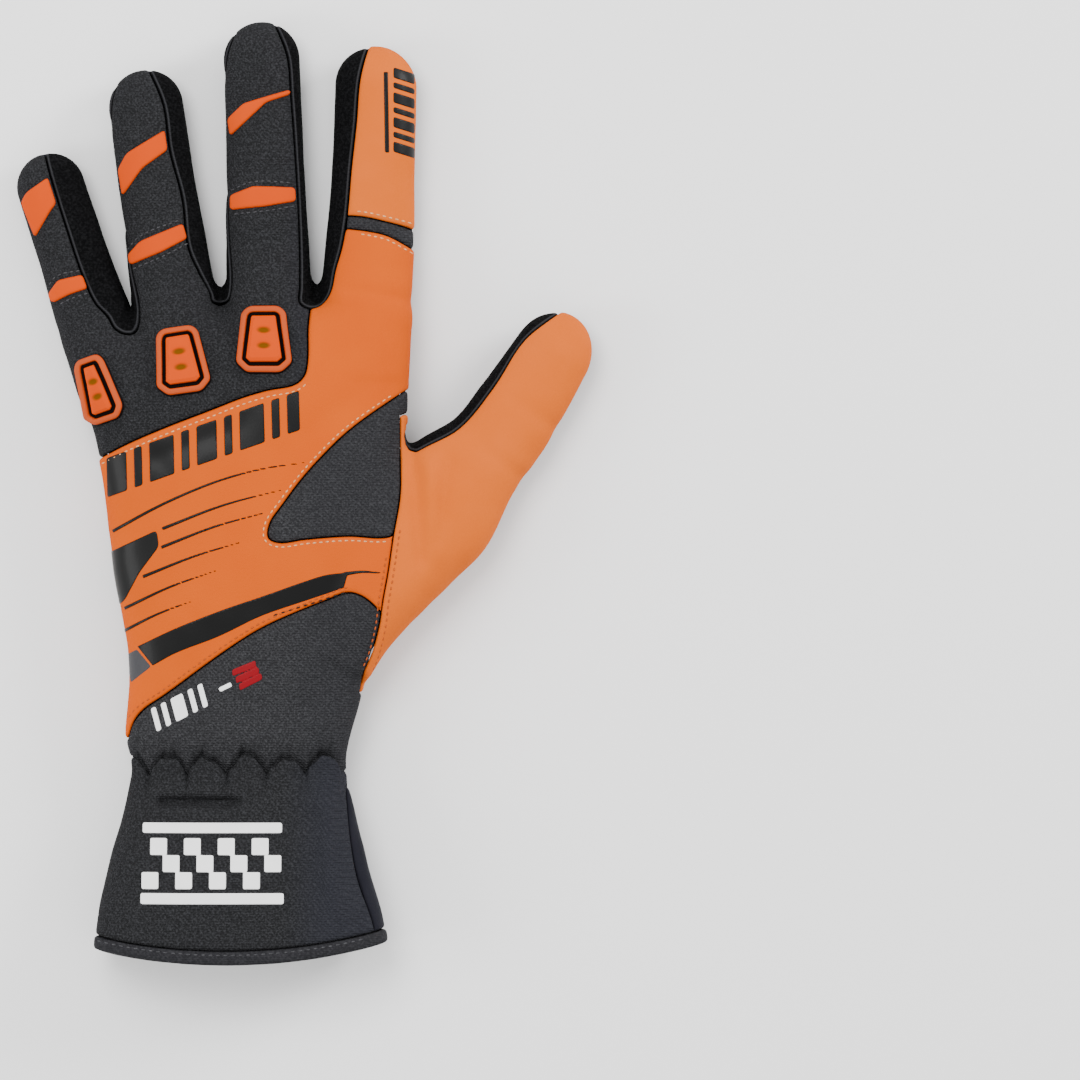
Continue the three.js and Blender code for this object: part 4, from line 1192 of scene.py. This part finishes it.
band_bars = slanted_bars((-60.5, 82), (-6, 101), 11.5, [6.5, 2.6, 8, 2.6, 6.5, 2.6, 8, 2.6, 4], 2.4, 0.32)
printed("print_band_bars", band_bars, "black", orange_raise)
index_bars = slanted_bars((33.2, 186.6), (33.2, 213), 6.2, [3.2, 1.8, 3.2, 1.8, 3.2, 1.8, 3.2], 1.3, 0.3)
index_line = ribbon([(25.1, 188.2), (24.7, 213)], 1.3, 1.3)
printed("print_index_bars", [index_line] + index_bars, "black", orange_raise)
wrist_bars = slanted_bars((-45.5, 9.9), (-11.9, 26.8), 7.2, [1.7, 1.7, 4.2, 1.7, 1.7], 1.7, 0.2)
wrist_bars.append(ribbon([(-26.2, 22.8), (-22.5, 24.6)], 1.4, 1.4))
printed("print_wrist_bars", wrist_bars, "white", 0)
accent_foot = np.array([(-19.9, 22.6), (-10.6, 27.3)])
accent_step = np.array([(-0.45, 0.9), (0, 0.9)])
wrist_accent = [slanted_bars(*(accent_foot + lift * accent_step), 1.95, [7.8], 1, 0.3)[0]
                for lift in (0, 2.45, 4.9)]
printed("print_wrist_accent", wrist_accent, "red", 0)
chequer_size = 5.2
chequer_lean = 1.3
chequer_columns = 8
chequer_rows = 3
chequer_corner = (-50, -38.2)
cuff_bars = [[(-49.8, -21.1), (-49.8, -17.9), (-6.9, -17.9), (-6.9, -21.1)],
             [(-50.3, -42.8), (-50.3, -39.4), (-6.3, -39.4), (-6.3, -42.8)]]
chequer = np.array([(0, 0), (1, 0), (1, 1), (0, 1)]) * chequer_size + chequer_corner
chequers = [
    round_corners(chequer + (column * chequer_size + row * chequer_lean, row * chequer_size), 0.3, 2)
    for column in range(chequer_columns) for row in range(chequer_rows) if (column + row) % 2 == 0
]
cuff_frame = [round_corners(bar, 0.4, 2) for bar in cuff_bars]
printed("print_cuff_chequers", chequers + cuff_frame, "white", 0)

# Stitches: rows of short thread pods along the seams, pale, orange or black on the leather and grey
# elsewhere, each half sunk into the panel it holds.
pod_rings = 3
pod_sides = 6
pod_flatness = 0.4
first_stitch = 0.5
ladder_top = 41
ladder_foot = 3
ladder_step = 0.75
thread_tones = {
    "light": ((0.5, 0.24, 0.1), (0.78, 0.45, 0.22)),
    "orange": ((0.3, 0.05, 0.004), (0.42, 0.08, 0.008)),
    "grey": ((0.03, 0.03, 0.034), (0.07, 0.07, 0.075)),
    "black": ((0.004, 0.004, 0.004), (0.012, 0.012, 0.012)),
}
thread_finishes = {
    title: new_finish("thread_" + title, dark, light, weave_effect, {"Thread": 900, "Heather": 2200},
                      "Fibre", 0.3, 0.0001, {"Roughness": 0.7, "Specular IOR Level": 0.2})
    for title, (dark, light) in thread_tones.items()
}


def unit_pod():
    """One stitch between -1 and 1 along its first axis: a circle whose radius is the root of
    1 - along^2, pressed flat across its third axis, with a point at each end."""
    along = np.sin(np.linspace(-math.pi / 2, math.pi / 2, pod_rings + 2)[1:-1])
    turn = np.arange(pod_sides) * 2 * math.pi / pod_sides
    radius = np.sqrt(1 - along ** 2)[:, None]
    ring = np.stack([along[:, None] + 0 * turn, radius * np.cos(turn), radius * np.sin(turn)], 2)
    points = np.concatenate([ring.reshape(-1, 3), [(-1, 0, 0), (1, 0, 0)]])
    side = np.arange(pod_sides)
    ahead = (side + 1) % pod_sides
    start, end = len(points) - 2, len(points) - 1
    faces = [np.stack([np.full(pod_sides, start), ahead, side], 1)]
    for k in range(pod_rings - 1):
        low, high = side + k * pod_sides, ahead + k * pod_sides
        faces.append(np.stack([low, high, high + pod_sides], 1))
        faces.append(np.stack([low, high + pod_sides, low + pod_sides], 1))
    last = (pod_rings - 1) * pod_sides
    faces.append(np.stack([np.full(pod_sides, end), side + last, ahead + last], 1))
    return points, np.concatenate(faces)


def on_top(places):
    """Points of the back's skin over plan places: the first height inside it on a ladder from above,
    narrowed by halving; the skin's directions there; and where there is no skin under a place."""
    ladder = np.arange(ladder_top, ladder_foot, -ladder_step)
    rungs = np.concatenate([np.repeat(places[:, None], len(ladder), 1),
                            np.repeat(ladder[None, :, None], len(places), 0)], 2)
    inside = glove_distance(rungs) < 0
    missed = ~inside.any(1)
    first = np.clip(inside.argmax(1), 1, None)
    high, low = ladder[first - 1], ladder[first]
    for _ in range(8):
        half = (high + low) / 2
        inside = glove_distance(np.column_stack([places, half])) < 0
        high, low = np.where(inside, high, half), np.where(inside, half, low)
    points = np.column_stack([places, low])
    slope = steepness(points)
    return points, slope / np.linalg.norm(slope, axis=1, keepdims=True), missed


def beside(line, distance):
    """A plan line moved to its left by a distance, or to its right if that is below 0."""
    run = np.gradient(line, axis=0)
    run /= np.linalg.norm(run, axis=1, keepdims=True)
    return line + distance * np.stack([-run[:, 1], run[:, 0]], 1)


def stitch_rows(name, lines, thread, raised=0.0, length=1.2, gap=0.75, width=0.52):
    """Stitches along plan lines: each is a pod of its length, turned along the skin between the two
    ends of its step of the line."""
    pod, pod_faces = unit_pod()
    starts, ends = [], []
    for line in lines:
        run = np.concatenate([[0], np.cumsum(np.linalg.norm(np.diff(line, axis=0), axis=1))])
        at = np.arange(first_stitch, run[-1] - length, length + gap)
        for end, offset in ((starts, 0), (ends, length)):
            end.append(np.stack([np.interp(at + offset, run, line[:, k]) for k in range(2)], 1))
    start, start_normal, start_missed = on_top(np.concatenate(starts))
    end, end_normal, end_missed = on_top(np.concatenate(ends))
    found = ~(start_missed | end_missed)
    start, end = start[found], end[found]
    normal = (start_normal + end_normal)[found]
    normal /= np.linalg.norm(normal, axis=1, keepdims=True)
    along = (end - start) / 2
    across = np.cross(normal, along)
    across *= width / 2 / np.linalg.norm(across, axis=1, keepdims=True)
    middle = (start + end) / 2 + normal * raised
    points = (middle[:, None] + pod[None, :, :1] * along[:, None] + pod[None, :, 1:2] * across[:, None]
              + pod[None, :, 2:] * (normal * width * pod_flatness)[:, None])
    faces = pod_faces[None] + (np.arange(len(middle)) * len(pod))[:, None, None]
    return new_piece(name, points.reshape(-1, 3), faces.reshape(-1, 3), thread_finishes[thread])


def part_of(line, first, last):
    """The stretch of a line between two shares of its length."""
    run = np.concatenate([[0], np.cumsum(np.linalg.norm(np.diff(line, axis=0), axis=1))])
    at = np.linspace(first * run[-1], last * run[-1], len(line))
    return np.stack([np.interp(at, run, line[:, k]) for k in range(2)], 1)


leather_rows = [
    {"name": "stitches_knuckle_seam", "thread": "light", "rows": [(knuckle_seam, -1.9, 0.16, 0.78)]},
    {"name": "stitches_insert", "thread": "light", "rows": [(insert_seam, -1.5, 0.03, 0.97)]},
    {"name": "stitches_index_band", "thread": "light",
     "rows": [(band_upper, 1.4, 0.25, 0.7), (band_lower, 1.6, 0.3, 0.75)]},
    {"name": "stitches_wrist_seam", "thread": "orange", "rows": [(wrist_seam, 1.7, 0.2, 0.9)]},
    {"name": "stitches_thumb_seam", "thread": "orange",
     "rows": [(thumb_panel_seam, 1.6, 0.4, 0.92), (thumb_panel_seam, -1.4, 0.5, 0.92)]},
]
for sewn in leather_rows:
    lines = [part_of(beside(seam, aside), first, last) for seam, aside, first, last in sewn["rows"]]
    stitch_rows(sewn["name"], lines, sewn["thread"], orange_raise)
swoosh_row = np.array([(-10, 45.6), (14, 53.2)])
stitch_rows("stitches_swoosh", [swoosh_row], "black", orange_raise, 1.4, 1.0)
hem_x = np.linspace(-64, 18, 40)
hem_row = np.stack([hem_x, hem_line(hem_x) + binding_height - 1.2], 1)
stitch_rows("stitches_hem", [hem_row], "grey", binding_proud, 1.3, 1.0, 0.5)
joint_rows = []
for strip in rubber_strips[:3]:
    edge = on_digit(strip["digit"], strip["corners"])
    joint_rows.append(beside(smooth_line(edge[:3], 4), 1.3))
    joint_rows.append(beside(smooth_line(edge[3:], 4), 1.3))
stitch_rows("stitches_finger_joints", joint_rows, "grey")
